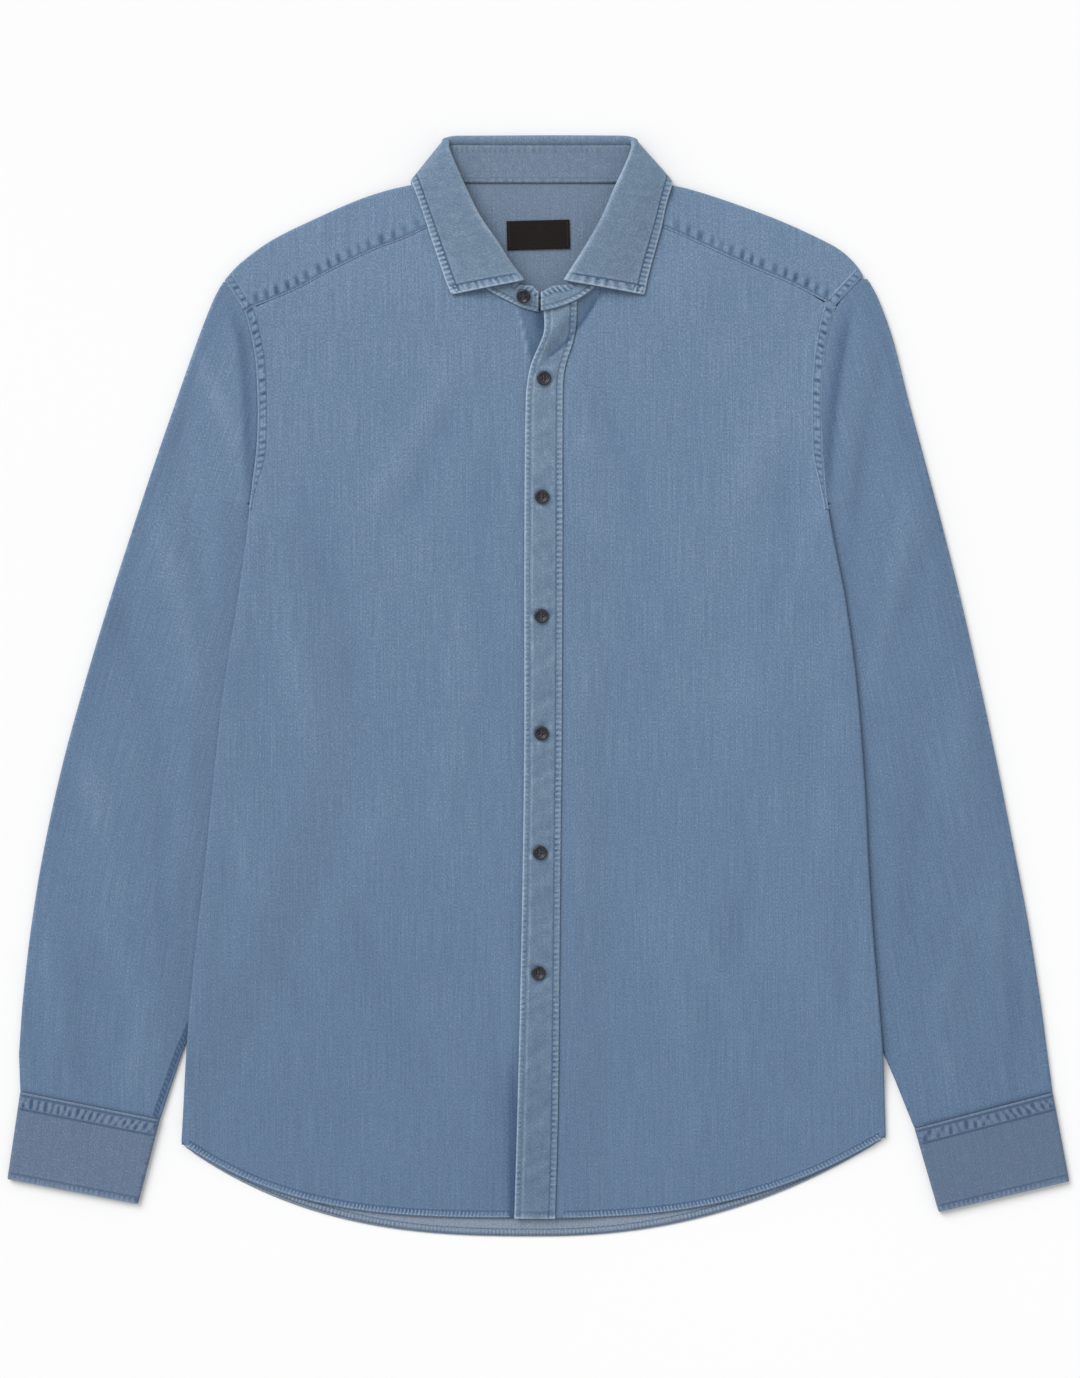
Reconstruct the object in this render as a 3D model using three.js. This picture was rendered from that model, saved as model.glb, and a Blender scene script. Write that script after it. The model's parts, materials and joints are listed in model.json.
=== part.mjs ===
// A long-sleeved men's denim shirt, laid flat on its back with its front up, as for a catalogue.
// Millimetres. +X is the wearer's left, +Y runs up towards the collar, +Z is up off the table.
// Plan positions are written as `out`, the distance from the centre line, and `down`, the distance
// below the top of the collar. Each cut piece of cloth is a wall of its own, 0.3 mm from its neighbours.
import * as THREE from "three";

// Driving sizes
const CLOTH = 1.2; // one layer of washed denim with its nap
const COLLAR_CLOTH = 1.6; // the fall and the stand, two layers with a fusing between
const CUFF_CLOTH = 1.8; // the cuff, two layers with a fusing between
const PLACKET_CLOTH = 1.0; // the band down the wearer's left front
const LABEL_CLOTH = 1.0; // woven neck label with its turned edges
const SEAM_GAP = 0.3; // between two pieces that are sewn together or lie on each other
const LABEL = { wide: 45, high: 20.5, out: -1.1, down: 71.6, turn: 0.025 };

const TABLE = CLOTH / 2; // middle of a layer that lies on the table
const STACK = 2 * CLOTH + 2 * SEAM_GAP + 0.25; // how far a flat sleeve lifts the body that lies on it
const FALL_LIFT = COLLAR_CLOTH + SEAM_GAP + 0.15; // how far the fall behind the neck lifts the back
const EDGE_HEIGHT = 3.4; // middle of the lower layer to middle of the upper one at a folded edge
const FOLD_RADIUS = (EDGE_HEIGHT - SEAM_GAP) / 2; // each half of the fold along a side seam
const FLAT_LOFT = 0.9; // air between the layers away from the edges
const EDGE_LOFT = EDGE_HEIGHT - CLOTH; // air between the layers at a folded edge
const LIFT_RAMP = 46; // how far from the sleeve the body starts to rise over it
const EDGE_REACH = 26; // how far in from an edge that air reaches
const BAND = 8.6; // width of the felled armhole seam
const BAND_LIFT = 0.7; // how far the seam stands up from the cloth beside it
const HEM = { wide: 5, lift: 0.6 };
const CUFF_BAND = { wide: 12, lift: 0.5 };
const ARMPIT_DOWN = 266;
const BACK_YOKE_DOWN = 118; // the seam between the yoke and the back
const BACK_NECK_DOWN = 34.3;
const NECK_POINT_OUT = 84; // where the shoulder's fold meets the neck

// The body's side in plan: the armhole seam down to the armpit, and below it the side edge.
const SIDE = [
  { down: 104, right: 226.4, left: 229.6 },
  { down: 113, right: 220.4, left: 220.5 },
  { down: 126, right: 212.5, left: 211.8 },
  { down: 140, right: 208.3, left: 208.0 },
  { down: 158, right: 204.6, left: 204.7 },
  { down: 180, right: 202.9, left: 203.0 },
  { down: 205, right: 202.4, left: 202.7 },
  { down: 228, right: 203.6, left: 203.5 },
  { down: 247, right: 205.9, left: 205.0 },
  { down: 266, right: 208.2, left: 206.8 },
  { down: 295, right: 211.8, left: 212.2 },
  { down: 334, right: 217.2, left: 219.8 },
  { down: 397, right: 227.2, left: 228.1 },
  { down: 470, right: 235.3, left: 233.8 },
  { down: 520, right: 240.2, left: 236.2 },
  { down: 574, right: 246.2, left: 239.6 },
  { down: 620, right: 251.0, left: 243.5 },
  { down: 665, right: 254.5, left: 247.0 },
  { down: 725, right: 258.0, left: 249.2 },
];

// The sleeve's inner fold, which runs under the body from the armpit until it comes out above the cuff.
const SLEEVE_INNER = [
  { down: 266, right: 208.9, left: 207.5 },
  { down: 271, right: 210.3, left: 209.4 },
  { down: 277, right: 211.2, left: 210.9 },
  { down: 282, right: 211.2, left: 211.2 },
  { down: 288, right: 209.0, left: 209.4 },
  { down: 305, right: 199.0, left: 199.0 },
  { down: 345, right: 184.0, left: 184.0 },
  { down: 385, right: 177.0, left: 177.0 },
  { down: 430, right: 175.0, left: 175.0 },
  { down: 480, right: 182.0, left: 181.0 },
  { down: 530, right: 197.0, left: 195.0 },
  { down: 580, right: 218.0, left: 213.0 },
  { down: 620, right: 239.0, left: 229.5 },
  { down: 652, right: 254.0, left: 243.8 },
  { down: 682, right: 264.5, left: 256.5 },
];

// The sleeve's outer fold, from the shoulder tip to the cuff.
const SLEEVE_OUTER = [
  { down: 104.4, right: 227.4, left: 236.6 },
  { down: 118, right: 234.7, left: 243.8 },
  { down: 147, right: 246.2, left: 254.2 },
  { down: 190, right: 261.4, left: 265.2 },
  { down: 233, right: 276.3, left: 276.8 },
  { down: 277, right: 291.0, left: 288.6 },
  { down: 334, right: 309.4, left: 303.0 },
  { down: 392, right: 326.9, left: 316.2 },
  { down: 449, right: 342.6, left: 328.4 },
  { down: 507, right: 355.6, left: 340.0 },
  { down: 565, right: 365.4, left: 351.2 },
  { down: 622, right: 372.0, left: 360.2 },
  { down: 658, right: 374.6, left: 364.9 },
];

// The four corners of each flat cuff.
const CUFF = {
  right: { topOut: [373.8, 687.6], topIn: [272.9, 707.8], endOut: [383.0, 750.2], endIn: [288.7, 768.2] },
  left: { topOut: [369.0, 688.2], topIn: [269.3, 714.2], endOut: [380.9, 751.7], endIn: [286.6, 774.0] },
};

// The shoulder's fold, from beside the neck to its tip, and the yoke's seam on the front, as [out, down].
const SHOULDER = {
  right: [
    [84, 34.3], [97, 36.8], [111, 40], [132.5, 47], [164.2, 61], [193, 75.4], [214.5, 91], [226, 103],
  ],
  left: [
    [84, 34.3], [99, 36.8], [112, 40], [134.6, 47], [171.4, 60.6], [201.6, 74.3], [216, 82.3], [226, 91.2],
    [232.3, 100],
  ],
};
const YOKE_SEAM = {
  right: [[66, 61], [81, 67], [96.3, 74.2], [121, 83.6], [150.8, 98], [178, 112.5], [212.5, 126]],
  left: [[66, 61], [78, 64.5], [92.5, 68.4], [124.9, 82.8], [150.1, 94.3], [179.6, 106.6], [211.8, 123.1]],
};

// The front neck seam, from the centre front to the yoke, as [out, down]. A minus is past the centre.
// The first four points lie under the placket, the rest run on up the neck.
const FRONT_NECK = {
  right: {
    head: [[-8, 129], [-1, 126.5], [7, 123.8], [22, 119.5]],
    rest: [[22, 119.5], [40, 108.5], [55, 88], [66, 61]],
  },
  left: {
    head: [[3, 124.3], [10.8, 120.5], [18.7, 117.4], [26.5, 114.5]],
    rest: [[26.5, 114.5], [42, 106.5], [57, 88], [66, 61]],
  },
};

// The two edges of the placket on the wearer's left front, and how far the right front reaches under it.
const PLACKET = [
  { down: 127, edge: 3.0, inner: 26.5, under: 8.0 },
  { down: 135, edge: 4.2, inner: 26.2, under: 9.5 },
  { down: 143, edge: 2.6, inner: 25.2, under: 11.0 },
  { down: 153, edge: -1.2, inner: 22.6, under: 12.0 },
  { down: 163, edge: -5.6, inner: 19.2, under: 12.5 },
  { down: 173, edge: -8.2, inner: 17.2, under: 12.5 },
  { down: 190, edge: -10.0, inner: 16.5, under: 12.5 },
  { down: 300, edge: -11.0, inner: 16.3, under: 12.5 },
  { down: 430, edge: -11.0, inner: 15.8, under: 12.0 },
  { down: 515, edge: -12.0, inner: 14.9, under: 11.0 },
  { down: 602, edge: -13.6, inner: 14.1, under: 10.0 },
  { down: 709, edge: -16.2, inner: 12.9, under: 8.0 },
  { down: 800, edge: -18.8, inner: 10.4, under: 6.0 },
];

// The curved tails: depth at the centre, depth at the side corner, and how square the curve is.
const TAIL = {
  front: { centre: 778.5, right: 724.5, left: 719.5, powerRight: 3.3, powerLeft: 2.6 },
  back: { centre: 792.0, right: 726.0, left: 721.0, powerRight: 2.7, powerLeft: 2.15 },
};

// The collar in sections from the centre back round to the points, as [right out, left out, down, height].
// `turn` is the way that the fall faces: 0 is down at the table, 90 out to the side and 180 up.
// Heights are of the middle of the cloth, and a null height is worked out from the cloth below.
const COLLAR = [
  { roll: [0, 0, 0.8, 3.25], edge: [0, 0, 47, 0.85], neck: [0, 0, 34, null], turn: 0 },
  { roll: [27, 27, 0.8, 3.25], edge: [29, 29, 47, 0.85], neck: [31, 31, 34, null], turn: 0 },
  { roll: [49, 49, 0.8, 3.25], edge: [54, 54, 46.6, 0.85], neck: [57, 57, 34, null], turn: 0 },
  { roll: [60.5, 60.5, 0.9, 3.25], edge: [72, 73, 45, 0.85], neck: [72, 72, 33.8, null], turn: 0 },
  { roll: [65, 65, 1.5, 3.5], edge: [84.5, 86, 41.5, 0.85], neck: [79.5, 79.5, 33.2, 4.4], turn: 25 },
  { roll: [67, 67, 2.4, 4.9], edge: [91.8, 93.6, 36, 1.0], neck: [82.4, 82.4, 32.8, 5.0], turn: 55 },
  { roll: [67.5, 67.8, 3.6, 8.6], edge: [92.6, 94.8, 33.4, 4.8], neck: [81.4, 81.4, 34.8, 7.0], turn: 95 },
  { roll: [66.5, 67, 8, 11.6], edge: [91, 94.6, 37, 9.0], neck: [78.3, 78.3, 39.3, 8.4], turn: 140 },
  { roll: [62, 62.8, 19.4, 13.2], edge: [85.5, 90.5, 51, null], neck: [72.3, 72.3, 48.2, 9.2], turn: 180 },
  { roll: [53, 53.5, 40, 13.9], edge: [80.6, 87.4, 66, null], neck: [66.8, 66.8, 60.5, null], turn: 180 },
  { roll: [43, 45, 60, 14.2], edge: [76, 83.6, 80, null], neck: [60.5, 60.5, 78, null], turn: 180 },
  { roll: [30.5, 35, 78, 14], edge: [71.6, 80, 93, null], neck: [51, 51, 95.5, null], turn: 180 },
  { roll: [20, 24.8, 94, 13.4], edge: [68, 77.4, 103.5, null], neck: [38, 38, 110.5, null], turn: 180 },
  { roll: [11.4, 17.5, 105.3, 12.6], edge: [63.4, 75, 115, null], neck: [24, 27, 118.5, null], turn: 180 },
];
// The stand runs on past the fall to its two front ends.
const STAND_END = [
  { top: [5.6, 9.6, 109.4, 12], neck: [12, 13.5, 124, null] },
  { top: [0.9, 0.9, 114, 11.6], neck: [0.9, 0.9, 127, null] },
];
const ROLL_RADIUS = 2.4; // middle of the cloth round the collar's roll
const STAND_SHARE = 0.85; // how much of the way up to the roll belongs to the stand

// Buttons down the placket, and the one on the stand.
const BUTTON_ROWS = [
  { name: "button_1", x: 2.9, down: 175.0 },
  { name: "button_2", x: 1.4, down: 260.0 },
  { name: "button_3", x: 1.1, down: 345.6 },
  { name: "button_4", x: 1.1, down: 429.8 },
  { name: "button_5", x: 0.0, down: 515.5 },
  { name: "button_6", x: -1.1, down: 602.0 },
];

// The broadest soft folds: a centre in plan, a half length and half width, a heading and a height.
const BODY_FOLDS = [
  { x: -165, down: 250, long: 90, wide: 24, heading: 1.15, high: 0.7 },
  { x: -120, down: 300, long: 110, wide: 26, heading: 0.95, high: -0.45 },
  { x: -205, down: 560, long: 120, wide: 18, heading: 1.48, high: 0.8 },
  { x: -70, down: 690, long: 100, wide: 28, heading: 0.9, high: 0.6 },
  { x: 120, down: 330, long: 140, wide: 30, heading: 1.6, high: 0.5 },
  { x: 165, down: 640, long: 110, wide: 26, heading: 1.95, high: 0.7 },
  { x: 60, down: 520, long: 160, wide: 30, heading: 1.5, high: -0.4 },
];
const SLEEVE_FOLDS = {
  right: [
    { x: -252, down: 250, long: 120, wide: 9, heading: 1.42, high: -1.3 },
    { x: -288, down: 420, long: 130, wide: 13, heading: 1.29, high: -1.0 },
    { x: -345, down: 560, long: 110, wide: 16, heading: 1.42, high: 0.6 },
  ],
  left: [
    { x: 222, down: 200, long: 80, wide: 10, heading: 1.72, high: 0.9 },
    { x: 300, down: 470, long: 150, wide: 20, heading: 1.75, high: 0.7 },
    { x: 320, down: 640, long: 70, wide: 14, heading: 1.3, high: -0.6 },
  ],
};

const CUFF_HEIGHT = 3.6; // middle of the cuff's lower layer to middle of its upper one
const CUFF_ACROSS = [0, 0.12, 0.37, 0.63, 0.88, 1];
const SIDES = { right: -1, left: 1 };
const ARMHOLE_GAP = SEAM_GAP + 0.15; // between the armhole seam of the body and the sleeve's edge
// The sleeve's first rows, above the fronts.
const SLEEVE_HEAD_DOWNS = { right: [106.2, 116], left: [103.4, 115] };
const ARMPIT_OUTER_DOWN = 250; // depth on the outer fold straight across from the armpit
const YOKE_BAND = { wide: 8.6, lift: 0.5, slope: 0.7 };
const YOKE_FOLD_INSET = 2.3; // where the shoulder's fold starts to turn under
const YOKE_ROWS = [0, 0.14, 0.28, 0.43, 0.58, 0.72, 0.86, 1];
const SLEEVE_FOLD_DOWNS = [270, 275, 280, 284, 288, 294, 305, 325, 360, 410, 465, 520, 570, 612, 648, 680];
const SLEEVE_ACROSS = [0, 0.12, 0.27, 0.43, 0.59, 0.74, 0.87, 1];

// Small helpers
const lerp = (a, b, t) => a + (b - a) * t;
const clamp = (t) => Math.min(1, Math.max(0, t));
const smooth = (t) => clamp(t) ** 2 * (3 - 2 * clamp(t));
const steps = (n) => Array.from({ length: n + 1 }, (_, i) => i / n);

// A smooth curve through a table's rows, read by the column `key` at `at`.
function read(rows, key, at, by = "down") {
  const last = rows.length - 1;
  let i = rows.findIndex((row) => row[by] > at) - 1;
  if (i < 0) i = at <= rows[0][by] ? 0 : last - 1;
  const slope = (k) => {
    const a = rows[Math.max(0, k - 1)];
    const b = rows[Math.min(last, k + 1)];
    return (b[key] - a[key]) / (b[by] - a[by]);
  };
  const [p, q] = [rows[i], rows[i + 1]];
  const width = q[by] - p[by];
  const t = (at - p[by]) / width;
  if (t < 0) return p[key] + slope(i) * (at - p[by]);
  if (t > 1) return q[key] + slope(i + 1) * (at - q[by]);
  const [t2, t3] = [t * t, t * t * t];
  return (
    (2 * t3 - 3 * t2 + 1) * p[key] +
    (t3 - 2 * t2 + t) * width * slope(i) +
    (3 * t2 - 2 * t3) * q[key] +
    (t3 - t2) * width * slope(i + 1)
  );
}

// A plan curve through points [out, down], read by its share of length.
function planCurve(points) {
  const curve = new THREE.SplineCurve(points.map(([out, down]) => new THREE.Vector2(out, down)));
  curve.arcLengthDivisions = 400;
  return (t) => curve.getPointAt(clamp(t));
}

const place = (x, down, z) => new THREE.Vector3(x, -down, z);

// Heights of the cloth

function foldHeight(folds, x, down) {
  let total = 0;
  for (const fold of folds) {
    const [dx, dd] = [x - fold.x, down - fold.down];
    const along = (dx * Math.cos(fold.heading) + dd * Math.sin(fold.heading)) / fold.long;
    const across = (dd * Math.cos(fold.heading) - dx * Math.sin(fold.heading)) / fold.wide;
    total += fold.high * Math.exp(-(along ** 2) - across ** 2);
  }
  return total;
}

// How far the sleeve under the body lifts it.
function sleeveLift(side, out, down) {
  const over = smooth((out - read(SLEEVE_INNER, side, down) + LIFT_RAMP + 4) / LIFT_RAMP);
  return STACK * over * smooth((down - 261) / 21) * (1 - smooth((down - 658) / 40));
}

// How far the fall behind the neck lifts the back.
function neckLift(out, down) {
  return FALL_LIFT * (1 - smooth((down - 50) / 36)) * (1 - smooth((out - 99) / 34));
}

function backMiddle(x, down) {
  const side = x < 0 ? "right" : "left";
  const out = Math.abs(x);
  return TABLE + sleeveLift(side, out, down) + neckLift(out, down);
}

// The air between the back and the front.
function bodyLoft(x, down) {
  const side = x < 0 ? "right" : "left";
  const fromEdge = read(SIDE, side, down) - Math.abs(x);
  const edge = (EDGE_LOFT - FLAT_LOFT) * (1 - smooth(fromEdge / EDGE_REACH));
  const shoulder = (EDGE_LOFT - FLAT_LOFT) * (1 - smooth((down - 100) / 60));
  const neck = 1.6 * (1 - smooth((Math.abs(x) - 40) / 60)) * (1 - smooth((down - 128) / 70));
  const calm = smooth(fromEdge / 30) * (1 - smooth((down - 700) / 60)) * smooth((down - 130) / 60);
  return FLAT_LOFT + Math.max(edge, shoulder) + neck + calm * foldHeight(BODY_FOLDS, x, down);
}

// The right front falls away under the placket's open top.
function rightOpening(x, down) {
  const crest = lerp(-17.3, -6.8, (down - 125) / 39);
  return -1.6 * smooth((x - crest + 2) / 9) * (1 - smooth((down - 150) / 30));
}

// The left front lies over the right one, and its top rolls open along a crease.
function leftOpening(x, down) {
  const over = (CLOTH + SEAM_GAP + 0.1) * (1 - smooth((x - 22) / 30));
  const crease = [42.3, 115.2, 5.0, 161.3];
  const length = Math.hypot(crease[2] - crease[0], crease[3] - crease[1]);
  const [ux, ud] = [(crease[2] - crease[0]) / length, (crease[3] - crease[1]) / length];
  const off = (x - crease[0]) * ud - (down - crease[1]) * ux;
  const along = ((x - crease[0]) * ux + (down - crease[1]) * ud) / length;
  const shown = smooth((along + 0.6) / 0.5) * (1 - smooth((along - 0.75) / 0.45));
  const roll = 1.7 * smooth(-off / 11) * shown;
  const valley = -0.7 * Math.exp(-((off / 4) ** 2)) * shown;
  return over + roll + valley;
}

function frontMiddle(side, x, down) {
  const opening = side === "left" ? leftOpening(x, down) : rightOpening(x, down);
  return backMiddle(x, down) + CLOTH + bodyLoft(x, down) + opening;
}

function tailDown(part, x) {
  const side = x < 0 ? "right" : "left";
  const tail = TAIL[part];
  const power = side === "right" ? tail.powerRight : tail.powerLeft;
  const corner = read(SIDE, side, tail[side]);
  return tail.centre - (tail.centre - tail[side]) * (Math.abs(x) / corner) ** power;
}

// Sheets and walls

// A grid of points, rows by columns; `outward` says whether rows cross columns facing out.
class Sheet {
  constructor() {
    this.points = [];
    this.lifts = [];
    this.quads = [];
    this.known = new Map();
  }
  point(p, lift) {
    const key = [p.x, p.y, p.z].map((v) => Math.round(v * 200)).join(",");
    if (!this.known.has(key)) {
      this.known.set(key, this.points.length);
      this.points.push(p);
      this.lifts.push(lift);
    }
    return this.known.get(key);
  }
  // rows is a list of lists of { p, lift }; flip turns the grid's outer side over.
  grid(rows, flip = false) {
    const ids = rows.map((row) => row.map(({ p, lift = 0 }) => this.point(p, lift)));
    for (let i = 0; i + 1 < ids.length; i++) {
      for (let j = 0; j + 1 < ids[i].length; j++) {
        const quad = [ids[i][j], ids[i][j + 1], ids[i + 1][j + 1], ids[i + 1][j]];
        this.quads.push(flip ? quad.reverse() : quad);
      }
    }
    return this;
  }
  triangles() {
    const found = [];
    for (const [a, b, c, d] of this.quads) {
      if (new Set([a, b, c]).size === 3) found.push([a, b, c]);
      if (new Set([a, c, d]).size === 3) found.push([a, c, d]);
    }
    return found;
  }
  // The unit normals at the points, on the side where most of the sheet's normals match `facing` in z.
  normals(facing) {
    const normals = this.points.map(() => new THREE.Vector3());
    let total = 0;
    for (const [a, b, c] of this.triangles()) {
      const ab = new THREE.Vector3().subVectors(this.points[b], this.points[a]);
      const ac = new THREE.Vector3().subVectors(this.points[c], this.points[a]);
      const normal = ab.cross(ac);
      total += normal.z;
      for (const i of [a, b, c]) normals[i].add(normal);
    }
    if (facing && total * facing < 0) {
      this.quads.forEach((quad) => quad.reverse());
      return this.normals(facing);
    }
    return normals.map((normal) => normal.normalize());
  }
  movedOut(distance, facing) {
    this.normals(facing).forEach((normal, i) => {
      this.points[i] = this.points[i].clone().addScaledVector(normal, distance);
    });
    return this;
  }
  // The closed wall around this sheet: outer points moved out by half a thickness and their lift.
  wall(thickness, facing = 0) {
    const normals = this.normals(facing);
    const count = this.points.length;
    const positions = new Float32Array(count * 6);
    this.points.forEach((p, i) => {
      const outer = p.clone().addScaledVector(normals[i], thickness / 2 + this.lifts[i]);
      const inner = p.clone().addScaledVector(normals[i], -thickness / 2);
      positions.set([outer.x, outer.y, outer.z], i * 3);
      positions.set([inner.x, inner.y, inner.z], (count + i) * 3);
    });
    const index = [];
    const edges = new Map();
    for (const [a, b, c] of this.triangles()) {
      index.push(a, b, c, count + a, count + c, count + b);
      for (const [from, to] of [[a, b], [b, c], [c, a]]) edges.set(from + "," + to, [from, to]);
    }
    for (const [from, to] of edges.values()) {
      if (edges.has(to + "," + from)) continue;
      index.push(from, count + from, to, to, count + from, count + to);
    }
    return solid(positions, index);
  }
  // The sheet's own surface, where it is closed already.
  closed() {
    const positions = new Float32Array(this.points.flatMap((p) => p.toArray()));
    return solid(positions, this.triangles().flat());
  }
}

function solid(positions, index) {
  const geometry = new THREE.BufferGeometry();
  geometry.setAttribute("position", new THREE.BufferAttribute(positions, 3));
  geometry.setIndex(index);
  geometry.computeVertexNormals();
  return geometry;
}

const shirt = new THREE.Group();
const denim = (hex) => new THREE.MeshStandardMaterial({ color: hex, roughness: 0.92, metalness: 0 });
const MATERIALS = {
  body: denim(0x6e86a3),
  band: denim(0x7186a0),
  label: new THREE.MeshStandardMaterial({ color: 0x24211f, roughness: 0.7, metalness: 0 }),
  button: new THREE.MeshStandardMaterial({ color: 0x2b2b33, roughness: 0.35, metalness: 0 }),
};

function add(name, geometry, material) {
  const mesh = new THREE.Mesh(geometry, material);
  mesh.name = name;
  shirt.add(mesh);
  return mesh;
}

// Panels

// How much of the side's fold is made at this depth: none at the armhole, all below the armpit.
const foldShare = (down) => smooth((down - ARMPIT_DOWN - 2) / 20);
const sideLimit = (side, down) => read(SIDE, side, down) - (foldShare(down) * CLOTH) / 2;
const innerSide = (side, down) => sideLimit(side, down) - BAND - 0.6;

// The last points of a panel's row: flat across the seam band, or round the side's fold.
function edgePoints(side, down, heightAt, direction, bandLift) {
  const limit = sideLimit(side, down);
  const share = foldShare(down);
  const bands = [BAND, BAND * 0.66, BAND * 0.33, 0];
  return [0, 30, 60, 88].map((degrees, k) => {
    const turn = THREE.MathUtils.degToRad(degrees);
    const folded = limit - FOLD_RADIUS + FOLD_RADIUS * Math.sin(turn);
    const out = lerp(limit - bands[k], folded, share);
    const x = SIDES[side] * out;
    const drop = share * FOLD_RADIUS * (1 - Math.cos(turn));
    return { p: place(x, down, heightAt(x, down) + direction * drop), lift: bandLift * (1 - share) };
  });
}

// Depths at which the armhole and the side edge are given a row of points.
const ARMHOLE_DOWNS = [126.6, 140, 160, 184, 210, 236, 254, 266];
const SIDE_DOWNS = [274, 282, 292, 312, 345, 395, 445, 495, 545, 595, 640, 675, 703];

// The depths of a panel's rows at its side, down to the corner of its tail.
function rowDowns(first, corner) {
  const upper = ARMHOLE_DOWNS.filter((down) => down > first + 1);
  const lower = [...SIDE_DOWNS, corner - HEM.wide - 0.8, corner - HEM.wide, corner];
  return [first, ...upper, ...lower];
}

const shoulderFold = { right: planCurve(SHOULDER.right), left: planCurve(SHOULDER.left) };
const yokeSeam = { right: planCurve(YOKE_SEAM.right), left: planCurve(YOKE_SEAM.left) };
const SEAM_STEPS = steps(8);

function frontColumns(side) {
  const rest = planCurve(FRONT_NECK[side].rest);
  const neck = [...FRONT_NECK[side].head, ...steps(4).slice(1).map((t) => rest(t).toArray())];
  const seam = SEAM_STEPS.slice(1).map((t) => yokeSeam[side](t).toArray());
  // The last column stops short of the armhole seam's raised band.
  const end = seam[seam.length - 1];
  seam[seam.length - 1] = [innerSide(side, end[1]), end[1] - 3];
  return [...neck, ...seam].map(([out, down], c) => ({ out, down: down + (c >= 7 ? SEAM_GAP / 2 + 0.05 : 0) }));
}

// The four columns at the centre front, which also carry the placket.
function headOut(side, down, k) {
  if (side === "left") return lerp(read(PLACKET, "edge", down), read(PLACKET, "inner", down), k / 3);
  return lerp(-read(PLACKET, "under", down), 21, k / 3);
}

function frontRows(side) {
  const top = frontColumns(side);
  const corner = TAIL.front[side];
  const topDown = top[top.length - 1].down;
  const height = (x, down) => frontMiddle(side, x, down);
  return rowDowns(126.6, corner).map((down, r, all) => {
    const share = (down - all[0]) / (corner - all[0]);
    const lift = down >= corner - HEM.wide - 0.01 ? HEM.lift : 0;
    const points = top.map((column, c) => {
      const even = (c - 3) / (top.length - 4);
      const topShare = (column.out - top[3].out) / (top[top.length - 1].out - top[3].out);
      const across = lerp(topShare, even, smooth(share * 2.2));
      const bodyOut = (d) => lerp(headOut(side, d, 3), innerSide(side, d), across);
      const outAt = (d) => (c < 4 ? headOut(side, d, c) : bodyOut(d));
      const tail = tailDown("front", SIDES[side] * outAt(corner)) - corner;
      const rowDown = down + (column.down - all[0]) * (1 - share) ** 1.6 + tail * share ** 2;
      const out = r === 0 ? column.out : outAt(rowDown);
      const x = SIDES[side] * out;
      return { p: place(x, rowDown, height(x, rowDown)), lift: c < 4 ? 0 : lift };
    });
    const edge = edgePoints(side, down, height, -1, BAND_LIFT);
    return [...points, ...edge.map((q) => ({ p: q.p, lift: Math.max(q.lift, lift) }))];
  });
}

for (const side of ["right", "left"]) {
  const rows = frontRows(side);
  add("front_" + side, new Sheet().grid(rows).wall(CLOTH, 1), MATERIALS.body);
  if (side === "left") {
    const raise = (CLOTH + PLACKET_CLOTH) / 2 + SEAM_GAP;
    const band = rows.map((row) => row.slice(0, 4));
    add("placket", new Sheet().grid(band).movedOut(raise, 1).wall(PLACKET_CLOTH, 1), MATERIALS.band);
  }
}

function backRows() {
  const columns = [0, 0.2, 0.4, 0.54, 0.64, 0.73, 0.81, 0.88, 0.94, 1];
  const both = [...columns.slice(1).reverse().map((u) => ["right", u]), ...columns.map((u) => ["left", u])];
  const last = rowDowns(BACK_YOKE_DOWN + 0.2, TAIL.back.left).length - 1;
  return Array.from({ length: last + 1 }, (_, r) => {
    const rowAt = (side) => rowDowns(BACK_YOKE_DOWN + 0.2, TAIL.back[side])[r];
    const middle = both.map(([side, u]) => {
      const corner = TAIL.back[side];
      const down = rowAt(side);
      const share = (down - BACK_YOKE_DOWN) / (corner - BACK_YOKE_DOWN);
      const xAt = (d) => SIDES[side] * u * innerSide(side, d);
      const rowDown = down + (tailDown("back", xAt(corner)) - corner) * share ** 2;
      const x = xAt(rowDown);
      return { p: place(x, rowDown, backMiddle(x, rowDown)) };
    });
    const right = edgePoints("right", rowAt("right"), backMiddle, 1, 0).reverse();
    const left = edgePoints("left", rowAt("left"), backMiddle, 1, 0);
    return [...right, ...middle, ...left];
  });
}
add("back", new Sheet().grid(backRows()).wall(CLOTH, -1), MATERIALS.body);

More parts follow.
